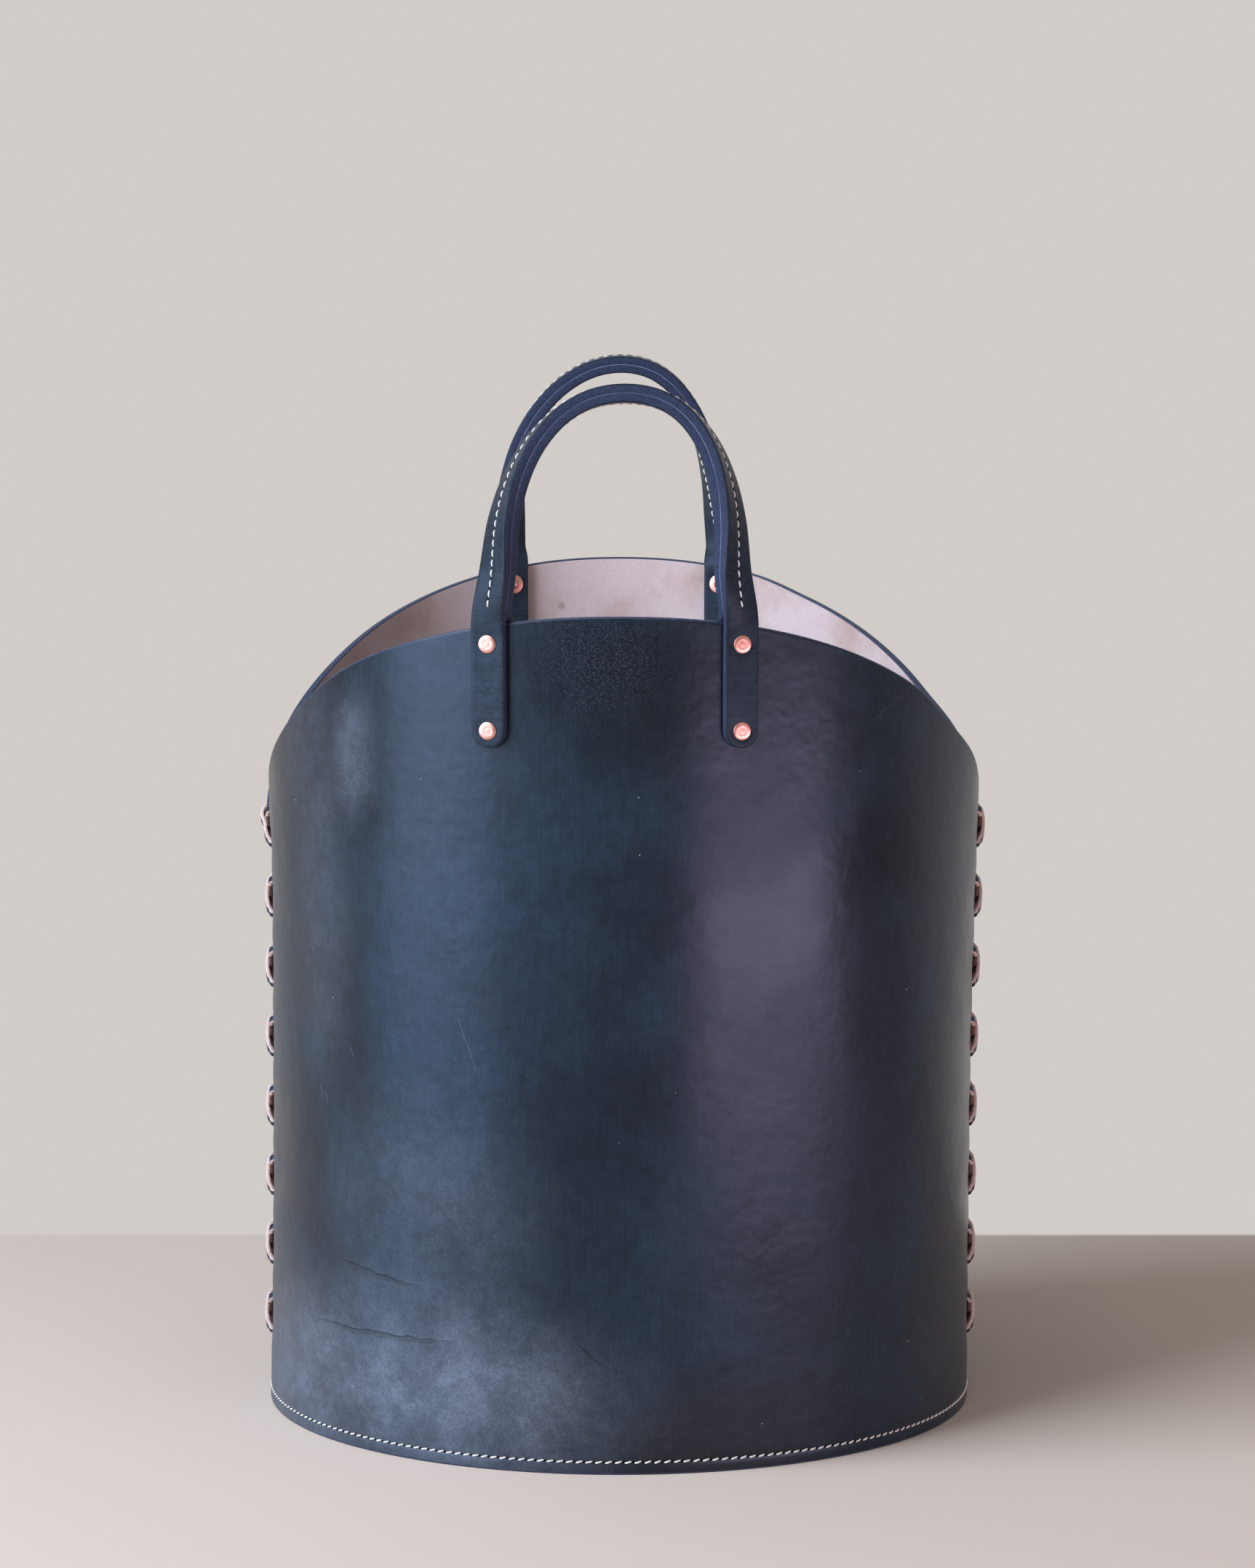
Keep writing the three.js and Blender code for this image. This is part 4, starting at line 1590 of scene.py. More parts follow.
@dataclass
class Handle:
    """A handle of two straps sewn back to back, with their cut edges dyed and left like suede."""

    form: HandleForm
    leather: Sides
    glue: Material
    thread: Material
    face_round: float = 0.9 * MM
    back_round: float = 0.2 * MM
    edge_dome: float = 0.15 * MM
    station_step: float = 1.6 * MM
    tip_steps: int = 9
    stitch_pitch: float = 5.2 * MM
    stitch_share: float = 0.7
    thread_width: float = 1.0 * MM
    slant: float = math.radians(6)
    first_stitch: float = 471 * MM
    groove: float = 0.3 * MM
    groove_width: float = 0.8 * MM
    slot: tuple[float, float, float] = (1.9 * MM, 0.7 * MM, 2.4 * MM)
    dent: float = 0.3 * MM
    dent_width: float = 6.2 * MM
    glue_thickness: float = 0.3 * MM
    glue_inset: float = 0.1 * MM
    slot_lean: float = math.radians(50)
    unevenness: float = 0.05
    seed: int = 11

    def build(self, punch: Punch, sewing: Sewing) -> list[Object]:
        """Builds both plies, the glue between them and the stitching.

        Args:
            punch: Tool that cuts the awl slots and the rivet holes.
            sewing: Tool that lays the stitches.

        Returns:
            The pieces, with the two plies first.
        """
        pieces = [self._ply(ply, punch) for ply in Ply]
        return [*pieces, self._glue(), self._sew(sewing)]

    def _section(self) -> list[tuple[int, float, float, int]]:
        """Round a ply: side, distance in from the edge, rise, and slot of the face that follows.

        Returns:
            Its points in order.
        """
        half, face = self.form.strap_width / 2, self.form.ply_thickness / 2
        r, b = self.face_round, self.back_round
        bow = 1 - math.cos(math.radians(30))
        arris = [(0.0, face - r), (r * bow, face - r / 2), (r / 2, face - r * bow), (r, face)]
        side = [(b, -face), (0.3 * b, 0.3 * b - face), (0.0, b - face)]
        side += [(-0.7 * self.edge_dome, -0.45 * face), (-self.edge_dome, 0.0), *arris]
        across = [2.5 * MM, 4.0 * MM, 5.5 * MM, 7.0 * MM, half - self.groove_width, half - 0.4 * MM]
        top = [(distance, face) for distance in across]
        cut = len(side) - len(arris)
        right = [(1, *p, 1) for p in side[:cut]] + [(1, *p, 0) for p in side[cut:] + top]
        crown = [(1, half, face, 0)]
        left = [(-1, *p, 0) for p in reversed(side[cut + 1:] + top)]
        left += [(-1, *p, 1) for p in reversed(side[1:cut + 1])]
        left += [(-1, *side[0], 2)]
        back = [3.0 * MM, 6.0 * MM]
        under = [(-1, d, -face, 2) for d in back] + [(1, half, -face, 2)]
        under += [(1, d, -face, 2) for d in reversed(back)]
        return right + crown + left + under

    def _ply(self, ply: Ply, punch: Punch) -> Object:
        """Builds one strap, its upper face away from the other one.

        Args:
            ply: The strap.
            punch: Tool that cuts the slots and holes.

        Returns:
            The dressed strap.
        """
        form = self.form
        line = form.ply_middle(ply)
        tip = form.strap_width / 2
        turns, start, end = np.linspace(0, QUARTER, self.tip_steps), tip, line.length - tip
        count = int((line.length - 2 * tip) / self.station_step)
        middle = np.linspace(start, end, count)[1:-1]
        turn = np.concatenate([turns, np.full(len(middle), QUARTER), turns[::-1]])
        base = np.concatenate([np.full(len(turns), start), middle, np.full(len(turns), end)])
        way = np.concatenate([np.ones(len(turns) + len(middle)), -np.ones(len(turns))])
        section = self._section()
        side, inset, rise, slot = (np.array(column) for column in zip(*section))
        reach = tip - inset
        along = base[:, None] - way[:, None] * reach[None, :] * np.cos(turn)[:, None]
        across = side[None, :] * reach[None, :] * np.sin(turn)[:, None]
        up = np.where(rise > 0, rise - self._pressed(line, along, across), rise)
        rings = line.place(along, across, ply.value * up)
        girth = travelled(np.array([(i, z) for _, i, z, _ in (*section, section[0])]))
        slots = np.tile(slot, (len(turn), 1))
        name = f"{form.half.label}_{ply.label}_strap"
        mesh = strip_mesh(name, rings, slots, along, girth, capped=False)
        piece = new_object(name, mesh, *self.leather)
        punch.cut(piece, self._slots(ply), 4)
        punch.cut(piece, form.bores(), 20)
        piece.data.set_sharp_from_angle(angle=CRISP_LEATHER)
        return piece

    def _pressed(self, line: Line, along: np.ndarray, across: np.ndarray) -> np.ndarray:
        """How far the upper face is pressed in: by the groove of the seam and by the rivets.

        Args:
            line: The ply's middle line.
            along: Distances along it.
            across: Distances across it.

        Returns:
            The depths.
        """
        place = line.place(along, across, 0 * across)
        sewn = smooth(place[..., 2], self.first_stitch - 4 * MM, self.first_stitch + 2 * MM)
        groove = self.groove * sewn * np.clip(1 - np.abs(across) / self.groove_width, 0, 1)
        dent = np.zeros_like(along)
        for rivet in self.form.rivet_places().points:
            away = place - rivet
            axis = unit(rivet * LEVEL)
            radial = away - np.sum(away * axis, axis=-1)[..., None] * axis
            distance = np.linalg.norm(radial, axis=-1)
            dent += self.dent * np.exp(-((distance / self.dent_width) ** 4))
        return groove + dent

    def _stitches(self) -> np.ndarray:
        """Where the stitches' middles are, as distances along the handle's middle line.

        Returns:
            The distances.
        """
        line = self.form.middle()
        high = line.lengths[line.points[:, 2] >= self.first_stitch]
        count = round((high[-1] - high[0]) / self.stitch_pitch)
        return np.linspace(high[0], high[-1], count + 1)

    def _on_face(self, ply: Ply, along: np.ndarray, sink: float = 0.0) -> Places:
        """Places on the middle of a ply's upper face.

        Args:
            ply: The ply.
            along: Distances along the handle's middle line.
            sink: Depth below the face.

        Returns:
            The places.
        """
        middle, line = self.form.middle(), self.form.ply_middle(ply)
        own = np.interp(along, middle.lengths, line.lengths)
        up = self.form.ply_thickness / 2 - sink
        points = line.place(own, 0 * own, np.full_like(own, ply.value * up))
        axes = ply.value * line.at(line.normals, own)
        return Places(points, axes, line.at(line.tangents, own))

    def _slots(self, ply: Ply) -> Places:
        """Awl slots of one ply, halfway between its stitches and slanting with the thread.

        Args:
            ply: The ply.

        Returns:
            Their places.
        """
        stitches = self._stitches()
        between = (stitches[1:] + stitches[:-1]) / 2
        places = replace(self._on_face(ply, between), size=self.slot)
        lean, aside = self.slot_lean, np.cross(places.axes, places.headings)
        places.headings = places.headings * math.cos(lean) + aside * math.sin(lean)
        return places

    def _sew(self, sewing: Sewing) -> Object:
        """Sews the centre row, which shows on both faces.

        Args:
            sewing: Tool that lays the stitches.

        Returns:
            The stitches on both faces.
        """
        rows = [self._on_face(ply, self._stitches(), 0.8 * self.groove) for ply in Ply]
        piece = Places.joined(rows).as_object(f"{self.form.half.label}_handle_stitching")
        sewing.run(
            piece,
            Length=self.stitch_pitch * self.stitch_share,
            Thread=self.thread_width,
            Slant=self.slant,
            Unevenness=self.unevenness,
            Seed=self.seed,
            Material=self.thread,
        )
        return piece

    def _glue(self) -> Object:
        """The thin pale line of glue between the plies, a little in from their edges.

        Returns:
            The dressed piece.
        """
        line = self.form.joint()
        start = self.form.fork_height + 0.95 * self.form.fork_rise
        high = line.lengths[line.points[:, 2] >= start]
        stations = np.linspace(high[0], high[-1], int((high[-1] - high[0]) / self.station_step))
        half = self.form.strap_width / 2 - self.glue_inset
        across, up = half * np.array([1, 1, -1, -1]), np.array([-1, 1, 1, -1])
        along = np.repeat(stations[:, None], 4, axis=1)
        wide, high = np.broadcast_arrays(across, up * self.glue_thickness / 2, along)[:2]
        rings = line.place(along, wide, high)
        name = f"{self.form.half.label}_handle_glue"
        girth = np.array([0.0, 0.3, 18.0, 18.3, 36.0]) * MM
        mesh = strip_mesh(name, rings, np.zeros(along.shape, int), along, girth, capped=True)
        return new_object(name, mesh, self.glue)


@dataclass
class Riveting:
    """The copper rivets: flat heads outside, washers and peened ends inside."""

    forms: tuple[HandleForm, ...]
    copper: Material
    head_diameter: float = 9.7 * MM
    head_thickness: float = 0.95 * MM
    head_round: float = 0.3 * MM
    head_sunk: float = 0.5 * MM
    ring_depth: float = 0.03 * MM
    shank: float = 3.3 * MM
    washer_diameter: float = 11.6 * MM
    washer_thickness: float = 1.0 * MM
    washer_round: float = 0.3 * MM
    peen_diameter: float = 5.4 * MM
    peen_height: float = 1.35 * MM
    segments: int = 36

    def build(self, setting: Setting) -> list[Object]:
        """Makes one rivet and one washer and sets them at every place.

        Args:
            setting: Tool that sets copies of a part.

        Returns:
            All rivets, and all washers.
        """
        form = self.forms[0]
        outer = form.wall.thickness / 2 + form.ply_thickness + form.gap - self.head_sunk
        inner = outer + form.hollow
        places = Places.joined([form.rivet_places() for form in self.forms])
        pieces = []
        for name, mesh in (("rivets", self._rivet(outer, inner)), ("washers", self._washer(inner))):
            part, piece = new_object(f"one_of_{name}", mesh), places.as_object(name)
            setting.run(piece, Part=part, Material=self.copper)
            bpy.data.objects.remove(part)
            piece.data.set_sharp_from_angle(angle=CRISP_SMALL_PART)
            pieces.append(piece)
        return pieces

    def _rivet(self, outer: float, inner: float) -> Mesh:
        """A rivet along Z: shank, flat head with a faint ring, and domed peened end.

        Args:
            outer: Height of the leather under the head.
            inner: Depth of the leather at the other end.

        Returns:
            Its mesh.
        """
        top, radius, r = outer + self.head_thickness, self.head_diameter / 2, self.head_round
        base = -inner - self.washer_thickness
        dome = [
            (self.peen_diameter / 2 * math.sin(a), base - self.peen_height * math.cos(a))
            for a in np.linspace(0, QUARTER, 6)
        ]
        ring, edge = 0.42 * radius, 0.5 * radius
        outline = [(0.0, dome[0][1]), *dome[1:]]
        outline += [(self.shank / 2, base), (self.shank / 2, outer), (radius - r / 2, outer)]
        outline += [(radius, outer + r / 2), (radius, top - r)]
        outline += [(radius - 0.3 * r, top - 0.3 * r), (radius - r, top), (edge, top)]
        outline += [(ring, top - self.ring_depth), (0.3 * radius, top)]
        outline += [(0.0, top + 0.5 * self.ring_depth)]
        return lathe(outline, self.segments, "one_rivet")

    def _washer(self, inner: float) -> Mesh:
        """A washer along Z, its rim a little rounded and its bore drawn over the shank.

        Args:
            inner: Depth of the leather that it lies on.

        Returns:
            Its mesh.
        """
        near, far, rim = -inner, -inner - self.washer_thickness, self.washer_diameter / 2
        r, bore = self.washer_round, self.shank / 2 + 0.15 * MM
        outline = [(bore, near), (bore, far), (rim - 2 * r, far), (rim - 0.6 * r, far + 0.2 * r)]
        outline += [(rim, far + r), (rim, near - r / 2), (rim - r / 2, near)]
        return lathe(outline, self.segments, "one_washer")


@dataclass(frozen=True)
class Stop:
    """A place on a lace beside its seam.

    Across is the arc from the seam, below 0 on the front panel. Rise is from the wall's outer face.
    Turn is the direction of the lace's width in the plane of the wall, as an angle from across.
    Shaded edge is 1 on a strand that lies under another: its cut edges take the brown flesh
    material there, as painted shade.
    """

    across: float
    height: float
    rise: float
    width: float
    turn: float
    stained: float = 0.0


@dataclass
class Lacing:
    """One flat lace down a side seam: crosses outside, upright runs inside, ends tucked under."""

    wall: WallForm
    side: Side
    leather: Sides
    width: float = 6 * MM
    thickness: float = 2.1 * MM
    throat_width: float = 4.4 * MM
    bend: float = 2.6 * MM
    gap: float = 0.3 * MM
    crossing_gap: float = 0.2 * MM
    tail_inset: float = 3.5 * MM
    tail_reach: float = 18.5 * MM
    arris: float = 0.3 * MM
    edge_dome: float = 0.15 * MM
    steps: int = 4
    over_lift: tuple = ((-0.34, 0.5), (-0.18, 0.88), (0.0, 1.0), (0.18, 0.88), (0.34, 0.5))
    under_lift: tuple = ((-0.35, 0.0), (0.0, 0.0), (0.35, 0.0))

    @property
    def outside(self) -> float:
        """Rise of a strand that lies on the wall."""
        return self.gap + self.thickness / 2

    @property
    def inside(self) -> float:
        """Rise of a strand that lies against the wall inside."""
        return -self.wall.thickness - self.outside

    @property
    def layer(self) -> float:
        """From one strand to another that lies on it."""
        return self.thickness + self.crossing_gap

    def _bend_stops(
        self, across: float, height: float, direction: float, level: float, turn: float
    ) -> list[Stop]:
        """A bend between a run along the wall and the axis of a hole, from the run inwards.

        Args:
            across: The hole's arc from the seam.
            height: The hole's height.
            direction: Way that the run leaves it.
            level: Rise of the run.
            turn: Direction of the lace's width.

        Returns:
            The stops.
        """
        inward = -1 if level > 0 else 1
        stops = []
        for angle in (0.0, QUARTER / 2, QUARTER):
            away = self.bend * (1 - math.sin(angle))
            place = (across + away * math.cos(direction), height + away * math.sin(direction))
            rise = level + inward * self.bend * (1 - math.cos(angle))
            width = self.throat_width if angle else (self.width + self.throat_width) / 2
            stops.append(Stop(*place, rise, width, turn))
        return stops

    def _cross_stops(self, start: tuple, end: tuple, turn: float, over: bool) -> list[Stop]:
        """One strand outside, from a hole to the one above it on the other panel.

        Args:
            start: Arc and height of the lower hole.
            end: Arc and height of the upper one.
            turn: Direction of the lace's width.
            over: Whether it lies on the other strand.

        Returns:
            The stops.
        """
        low, high, stops = np.array(start), np.array(end), []
        for share, lift in self.over_lift if over else self.under_lift:
            place = (low + high) / 2 + (high - low) * share
            rise = self.outside + self.layer * lift
            # The strand underneath is marked for painted shade on its cut edges.
            stops.append(Stop(*place, rise, self.width, turn, float(not over)))
        return stops

    def _half_stops(self, front: bool) -> list[Stop]:
        """Half of the lace, from the middle of its lowest run inside to its end.

        Args:
            front: Whether it is the half that ends on the front panel.

        Returns:
            The stops.
        """
        wall, down = self.wall, -QUARTER
        across, height = wall.hole_inset, wall.hole_height(0)
        stops = [Stop(0.0, height, self.inside, self.width, down)]
        stops += self._bend_stops(across, height, math.pi, self.inside, down)
        for index in range(0, wall.hole_count, 2):
            start, end = (across, height), (-across, wall.hole_height(index + 1))
            climb = math.atan2(end[1] - start[1], end[0] - start[0])
            turn = climb + QUARTER
            stops += self._bend_stops(*start, climb, self.outside, turn)[::-1]
            stops += self._cross_stops(start, end, turn, (across > 0) == front)
            stops += self._bend_stops(*end, climb + math.pi, self.outside, turn)
            across, height = end
            if index + 2 < wall.hole_count:
                bridged = index + 4 > wall.hole_count - 1
                level = self.inside - (self.layer if bridged else 0)
                above = wall.hole_height(index + 2)
                stops += self._bend_stops(across, height, QUARTER, level, math.pi)[::-1]
                stops += [
                    Stop(across, height + (above - height) * share, level, self.width, math.pi)
                    for share in (0.25, 0.75)
                ]
                stops += self._bend_stops(across, above, -QUARTER, level, math.pi)
                height = above
        return stops + self._tail_stops(across, height)

    def _tail_stops(self, across: float, top: float) -> list[Stop]:
        """An end of the lace: down beside the next hole, then slanting under the run there.

        Args:
            across: Arc of the last hole.
            top: Its height.

        Returns:
            The stops.
        """
        sign, pitch = math.copysign(1, across), self.wall.hole_pitch
        bridge = top - 1.5 * pitch
        places = [
            (sign * self.tail_inset, top - 0.62 * pitch),
            (sign * self.tail_inset, top - pitch),
            (sign * (self.tail_inset + self.thickness / 2), bridge + 0.9 * self.width),
            (sign * self.wall.hole_inset, bridge),
            (sign * self.tail_reach, bridge - 1.1 * self.width),
        ]
        heading = math.atan2(places[0][1] - top, places[0][0] - across)
        turn = heading - QUARTER
        stops = self._bend_stops(across, top, heading, self.inside, turn)[::-1]
        path = [(across, top), *places, places[-1]]
        for before, place, after in zip(path, path[1:], path[2:]):
            direction = math.atan2(after[1] - before[1], after[0] - before[0])
            stops.append(Stop(*place, self.inside, self.width, direction - QUARTER))
        return stops

    def build(self) -> Object:
        """Builds the lace.

        Returns:
            The dressed piece.
        """
        wall = self.wall
        stops = [
            replace(stop, across=-stop.across, turn=math.pi - stop.turn)
            for stop in self._half_stops(front=True)[:0:-1]
        ]
        stops += self._half_stops(front=False)
        across, height, rise, width, turn, stained = np.array([astuple(stop) for stop in stops]).T
        angle = self.side.value * (QUARTER + across / wall.foot_radius)
        points = wall.point(angle, height, rise)
        along = self.side.value * np.stack([np.cos(angle), np.sin(angle), 0 * angle], axis=1)
        sides = along * np.cos(turn)[:, None] + np.outer(np.sin(turn), UP)
        rows = np.hstack([points, sides, outward(angle), np.stack([width, rise, stained], axis=1)])
        knots = catmull_rom(rows, self.steps, power=0.0)
        path, across, out = knots[:, 0:3], knots[:, 3:6], knots[:, 6:9]
        width, rise, stained = knots[:, 9:12].T
        tangents = unit(np.gradient(path, axis=0))
        face = unit(np.cross(tangents, across))
        away = np.sum(face * out, axis=1)
        across = np.cross(face, tangents)
        section = self._section()
        w, v = (np.array(column) for column in zip(*section))
        reach = width[:, None] / 2 + np.abs(w)[None, :] - self.width / 2
        rings = (
            path[:, None, :]
            + (np.sign(w)[None, :] * reach)[..., None] * across[:, None, :]
            + v[None, :, None] * face[:, None, :]
        )
        along = np.repeat(travelled(path)[:, None], len(section), axis=1)
        grain_out = (away > 0) == (rise > -wall.thickness / 2)
        # Painted shade: where a strand lies under another, its cut edges get the brown flesh
        # material.
        slots = np.repeat(np.where(stained > 0.3, 2, 1)[:, None], len(section), axis=1)
        for k, rises in enumerate(zip(v, np.roll(v, -1))):
            if abs(rises[0] - rises[1]) < 1e-9 and rises[0]:
                slots[:, k] = np.where(grain_out == (rises[0] > 0), 0, 2)
        girth = np.linspace(0, 2 * (self.width + self.thickness), len(section) + 1)
        name = f"{self.side.label}_lacing"
        mesh = strip_mesh(name, rings, slots, along, girth, capped=True)
        mesh.set_sharp_from_angle(angle=CRISP_SMALL_PART)
        return new_object(name, mesh, *self.leather)

    def _section(self) -> list[tuple[float, float]]:
        """Round the lace: across and up from its middle.

        Returns:
            Its points in order.
        """
        half, face, r, dome = self.width / 2, self.thickness / 2, self.arris, self.edge_dome
        quarter = [(half, 0.0), (half - 0.3 * dome, 0.45 * face), (half - dome, face - r)]
        quarter += [(half - dome - 0.3 * r, face - 0.3 * r), (half - dome - r, face)]
        upper = quarter + [(-w, v) for w, v in reversed(quarter)]
        return upper + [(-w, -v) for w, v in upper[1:-1]]


@dataclass(frozen=True)
class Lamp:
    """A soft rectangular lamp: its place and size in metres, its watts and its colour."""

    name: str
    place: tuple[float, float, float]
    size: tuple[float, float]
    power: float
    colour: str


@dataclass
class Stage:
    """A plain pale floor and backdrop, soft lights and the camera."""

    lamps: tuple[Lamp, ...] = (
        Lamp("window_light", (-2.0, -1.3, 1.34), (2.0, 3.0), 138, "#dcebff"),
        Lamp("low_light", (1.02, -1.02, 0.09), (1.15, 0.2), 6.9, "#ffdcea"),
        Lamp("ceiling_light", (-0.27, -0.57, 2.8), (2.0, 2.0), 12, "#fff4ea"),
    )
    camera_place: tuple[float, float, float] = (4.9 * MM, -3030.2 * MM, 719 * MM)
    camera_pitch: float = math.radians(83.08)
    lens: float = 123.3
    sensor: float = 36.0
    floor_colour: str = "#e3d1c2"
    floor_roughness: float = 0.8
    floor_specular: float = 0.2
    wall_colour: str = "#d2ccc9"
    floor_end: float = 0.43
    edge_blur: float = 12 * MM
    reach: float = 40.0
    world_colour: str = "#dfe3ec"
    world_strength: float = 0.24
    aim_height: float = 0.28

    def build(self) -> None:
        """Sets up everything that isn't the basket."""
        self._camera()
        self._ground()
        self._world()
        for lamp in self.lamps:
            self._light(lamp)
        bpy.context.scene.view_settings.view_transform = "Standard"

    def _camera(self) -> None:
        """The photograph's viewpoint."""
        data = bpy.data.cameras.new("camera")
        data.lens, data.sensor_width, data.sensor_fit = self.lens, self.sensor, "AUTO"
        camera = new_object("camera", data)
        camera.location = self.camera_place
        camera.rotation_euler = (self.camera_pitch, 0.0, 0.0)
        bpy.context.scene.camera = camera

    def _seen(self, nodes: Nodes) -> Socket:
        """Tells the rays that show the background: those of the camera, of gloss and of glass.

        Args:
            nodes: Tree that gets the nodes.

        Returns:
            1 for such a ray, otherwise 0.
        """
        rays = nodes.add("ShaderNodeLightPath").node.outputs
        either = nodes.add(Step.GREATER, rays["Is Camera Ray"], rays["Is Glossy Ray"])
        return nodes.add(Step.GREATER, either, rays["Is Transmission Ray"])

    def _ground(self) -> None:
        """A large floor. Behind the basket it shows the backdrop's plain colour instead."""
        r = self.reach
        mesh = bpy.data.meshes.new("floor")
        mesh.from_pydata([(-r, -r, 0), (r, -r, 0), (r, r, 0), (-r, r, 0)], [], [(0, 1, 2, 3)])
        made = Finish("matt paint")
        depth = made.add("ShaderNodeSeparateXYZ", made.place, out="Y")
        behind = made.add(Step.RANGE, depth, self.floor_end, self.floor_end + self.edge_blur)
        shown = made.add(Step.TIMES, behind, self._seen(made))
        made.dress(
            Base_Color=self.floor_colour,
            Roughness=self.floor_roughness,
            Specular_IOR_Level=self.floor_specular,
        )
        plain = made.add("ShaderNodeEmission", self.wall_colour)
        mixed = made.add("ShaderNodeMixShader", shown, made.shader.outputs[0], plain)
        made.feed(made.tree.nodes["Material Output"], {"Surface": mixed})
        new_object("floor", mesh, made.material)

    def _world(self) -> None:
        """Even light from all round, and the backdrop's colour where it is seen."""
        world = bpy.data.worlds.new("soft room")
        world.use_nodes = True
        made = Nodes(world.node_tree)
        light = made.tree.nodes["Background"]
        made.feed(light, {"Color": self.world_colour, "Strength": self.world_strength})
        plain = made.add("ShaderNodeBackground", self.wall_colour, 1.0)
        mixed = made.add("ShaderNodeMixShader", self._seen(made), light.outputs[0], plain)
        made.feed(made.tree.nodes["World Output"], {"Surface": mixed})
        bpy.context.scene.world = world

    def _light(self, lamp: Lamp) -> None:
        """Adds a lamp that faces the basket.

        Args:
            lamp: The lamp.
        """
        data = bpy.data.lights.new(lamp.name, "AREA")
        data.shape, data.energy = "RECTANGLE", lamp.power
        data.size, data.size_y = lamp.size
        data.color = linear(lamp.colour)[:3]
        made = new_object(lamp.name, data)
        made.location = lamp.place
        away = Vector(lamp.place) - Vector((0, 0, self.aim_height))
        made.rotation_euler = away.to_track_quat("Z", "Y").to_euler()
        made.visible_camera = False


def front_hide() -> GrainLeather:
    """The front panel's hide, with the marks that it carries, and tinted ovals that paint sheen,
    reflection and shade onto it.

    Returns:
        Its finish.
    """
    return GrainLeather(
        "waxed grain leather, front",
        stains=(
            # Painted violet sheen, where the low lamp's highlight lies.
            Spot(75, 280, 62, 170, 0.6, "#2c2735"),
            # Painted bluish sheen, where the window's highlight lies.
            Spot(-84, 250, 90, 150, 0.45, "#1d3042"),
            # Painted shade on the right side, which faces away from the window.
            Spot(150, 190, 60, 160, 0.7, "#171a26"),
            Spot(20, 420, 80, 60, 0.6, "#15191b"),
            # Painted brown reflection of the floor, low down near the foot.
            Spot(60, 10, 130, 60, 0.7, "#1f1a16"),
        ),
        blooms=(
            Spot(-158, 386, 24, 52, 0.35),
            Spot(-205, 385, 50, 75, 0.15),
            Spot(-190, 290, 40, 120, 0.2),
            Spot(-160, 35, 190, 85, 0.48),
            Spot(-250, 15, 110, 80, 0.25),
            Spot(-70, 40, 120, 70, 0.28),
            Spot(-115, 140, 100, 90, 0.2),
        ),
        pebbles=(Spot(-8, 442, 52, 48, 1.0),),
        wrinkles=(
            Mark((-184, 106), (-112, 97), 0.5, 6, 1.0),
            Mark((-212, 65), (-84, 69), 0.5, 8, 1.0),
            Mark((-26, 74), (-4, 58), 0.4, 4, 0.8),
        ),
        scratches=(
            Mark((-193, 199), (-190, 190), 0.35, 1, 0.9),
            Mark((-189, 197), (-184, 188), 0.3, 1, 0.8),
            Mark((-163, 224), (-160, 217), 0.3, 1, 0.7),
            Mark((-90, 252), (-75, 213), 0.3, 3, 0.5),
            Mark((135, 395), (190, 428), 0.3, 4, 0.35),
            Mark((150, 372), (196, 402), 0.25, 4, 0.3),
        ),
    )


def handle_forms(wall: WallForm) -> tuple[HandleForm, HandleForm]:
    """Both handles, each leaning and swaying in its own way.

    Args:
        wall: The wall that they are riveted to.

    Returns:
        The front one and the rear one.
    """
    rear = HandleForm(
        wall,
        Half.BACK,
        lean=-3.1 * MM,
        turned=0.0102,
        sway=2.65 * MM,
        spread=126.9 * MM,
        draw_in=1.3 * MM,
        arch_rise=116.9 * MM,
        arch_setback=8.2 * MM,
        arch_tilt=math.radians(1.55),
        lean_power=2.04,
        sway_power=1.37,
        width_power=2.09,
        height_power=2.14,
        twist_power=3.17,
        fork_rise=12 * MM,
    )
    return HandleForm(wall, Half.FRONT, lean=5.5 * MM, turned=-0.0095), rear


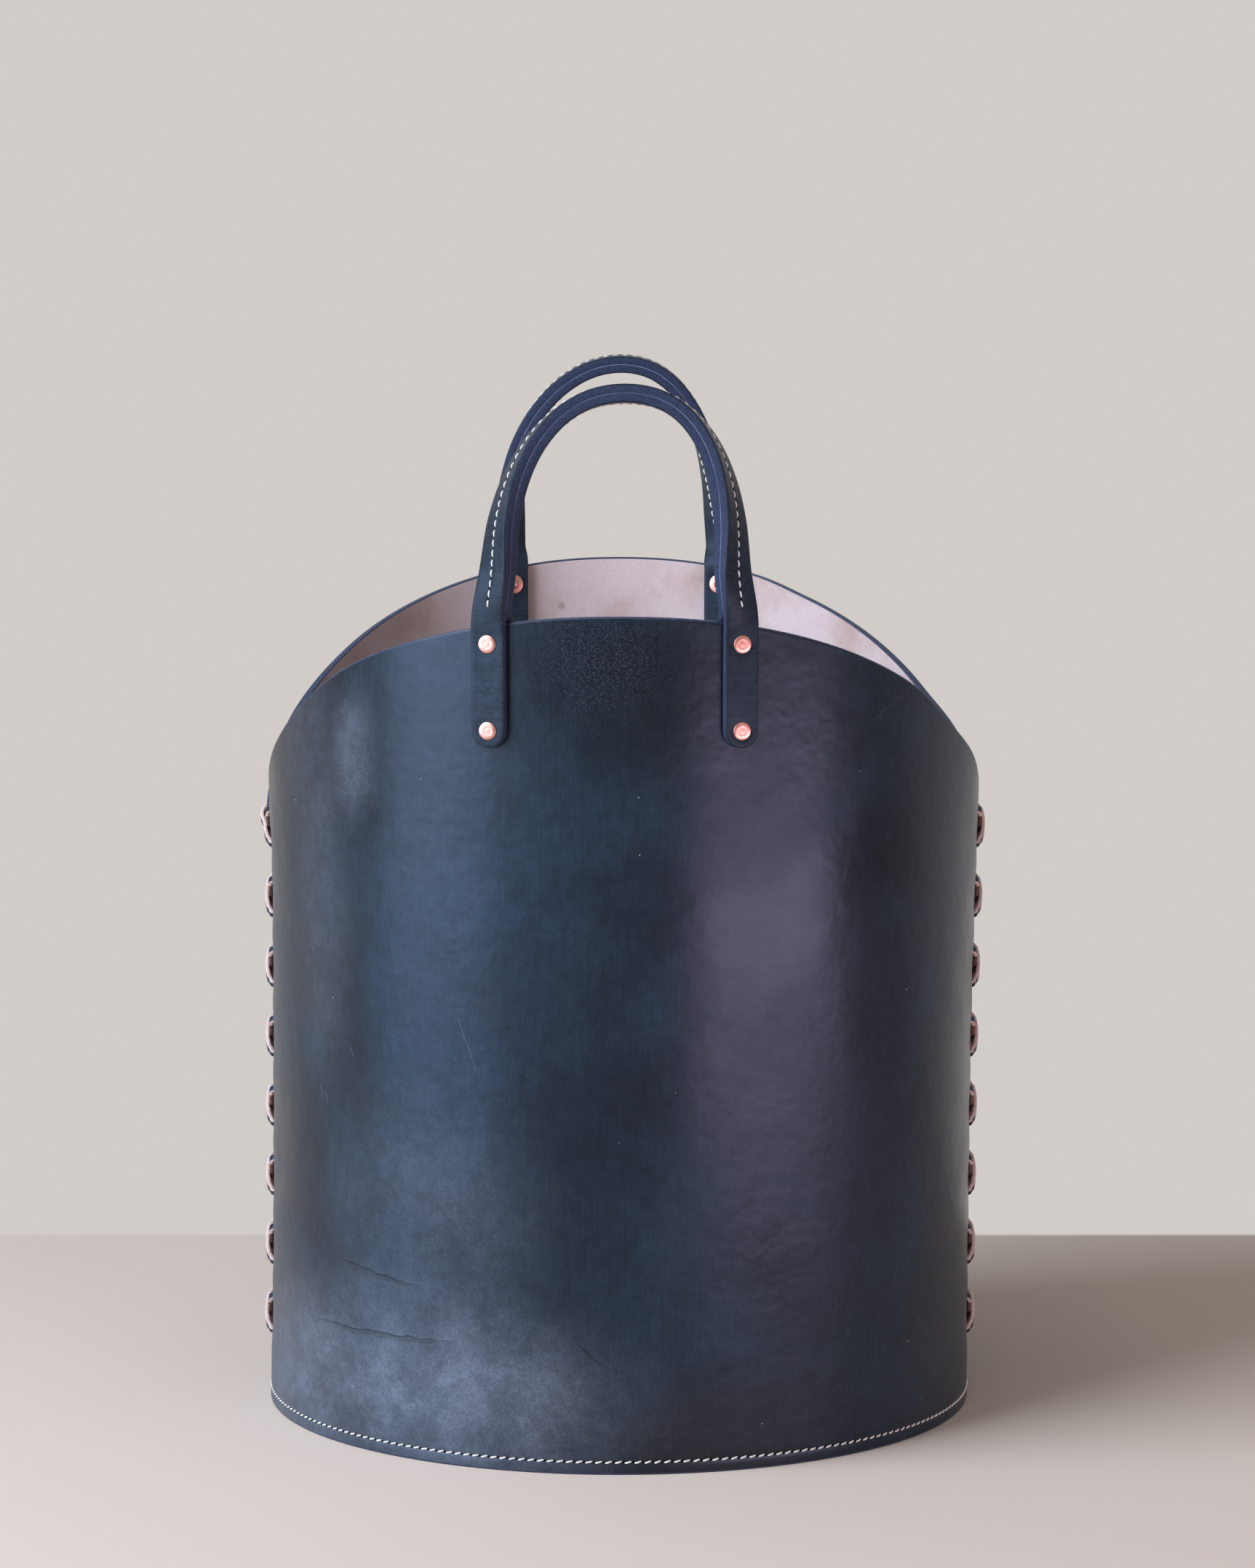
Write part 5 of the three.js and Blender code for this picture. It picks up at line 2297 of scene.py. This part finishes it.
def stock() -> dict[str, Material]:
    """Makes every material of the basket.

    Returns:
        The materials by their use.
    """
    strap = GrainLeather(
        "waxed strap leather",
        dye="#242b35",
        deep_dye="#1d232c",
        light_dye="#29313c",
        roughness=0.3,
        specular=0.16,
        seed=1.3,
    )
    finishes = {
        "front": front_hide(),
        "back": GrainLeather("waxed grain leather, back", seed=3.7),
        "flesh": FleshLeather("natural flesh side"),
        "edge": CutEdge("burnished dyed leather edge", "#1f2738", "#36435f", 0.4),
        "strap": strap,
        "dyed_flesh": FleshLeather("dyed flesh side", "#4a4148", "#2f2c33", "#201e22"),
        "suede": CutEdge("dyed suede cut edge", "#171f33", "#2b3755", 0.8),
        "lace": GrainLeather("waxed lace leather", dye="#1b1e27", seed=2.1),
        # Flesh side darkened to brown, partly painted shade between the strands; it also paints
        # shade on the under strands' cut edges.
        "lace_flesh_and_shade": FleshLeather("brown flesh side", "#7a5a4e", "#5a4038", "#3f2d27"),
        "natural": CutEdge("natural cut edge", "#c3a39a", "#e2cdc8", 0.7),
        "glue": FleshLeather("dried contact glue", "#878cab", "#5e6484", "#5e6484"),
        "copper": BrushedCopper("brushed copper"),
        "thread": WaxedThread("waxed braided thread"),
        # Painted shade: the walls of every punched hole and awl slot are near-black, for the shade
        # deep inside them.
        "shaded_bore": CutEdge("dark wall of an awl hole", "#0a0b0f", "#15171d", 0.85),
    }
    return {use: finish.material() for use, finish in finishes.items()}


def hand_over(piece: Object, slot: str = "", *nodes: str) -> None:
    """Hides the solids that a finished piece replaces, hangs it on the basket's body and logs its
    faces.

    Args:
        piece: The piece.
        slot: Name of a colour slot; not used.
        nodes: The solids that it replaces.
    """
    if nodes:
        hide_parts(*nodes)
    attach(piece, BODY)
    LOG.info("%s: %d faces", piece.name, len(piece.data.polygons))


def main() -> None:
    """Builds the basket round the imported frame."""
    logging.basicConfig(level=logging.INFO, format="%(message)s")
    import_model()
    low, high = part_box("front_panel")
    wall = WallForm(rim_height=high.z, rim_radius=-low.y)
    Stage().build()
    kit = stock()
    punch, sewing, setting = Punch(kit["shaded_bore"]), Sewing(), Setting()
    seam, forms = FootSeam(wall), handle_forms(wall)
    for form in forms:
        half, leather = form.half, (kit[form.half.label], kit["edge"], kit["flesh"])
        panel = WallPanel(wall, half, leather, seam.slots(half), form.bores())
        hand_over(panel.build(punch), "panel_leather", f"{half.label}_panel")
    hand_over(BasketBase(wall, kit["flesh"]).build(), "base_leather", "base")
    hand_over(seam.sew(sewing, kit["thread"]))
    for form in forms:
        leather = (kit["strap"], kit["suede"], kit["dyed_flesh"])
        handle = Handle(form, leather, kit["glue"], kit["thread"])
        outer, inner, *rest = handle.build(punch, sewing)
        for piece, ply in ((outer, Ply.OUTER), (inner, Ply.INNER)):
            hand_over(piece, "strap_leather", f"{form.half.label}_handle_{ply.label}_ply")
        for piece in rest:
            hand_over(piece)
    for piece, kind in zip(Riveting(forms, kit["copper"]).build(setting), ("rivet", "washer")):
        places = product(("front", "back"), ("left", "right"), ("upper", "lower"))
        hand_over(piece, "copper", *("_".join((kind, *place)) for place in places))
    for side in Side:
        leather = (kit["lace"], kit["natural"], kit["lace_flesh_and_shade"])
        lacing = Lacing(wall, side, leather).build()
        hand_over(lacing, "lace_leather", f"{side.label}_lace")


if __name__ == "__main__":
    main()
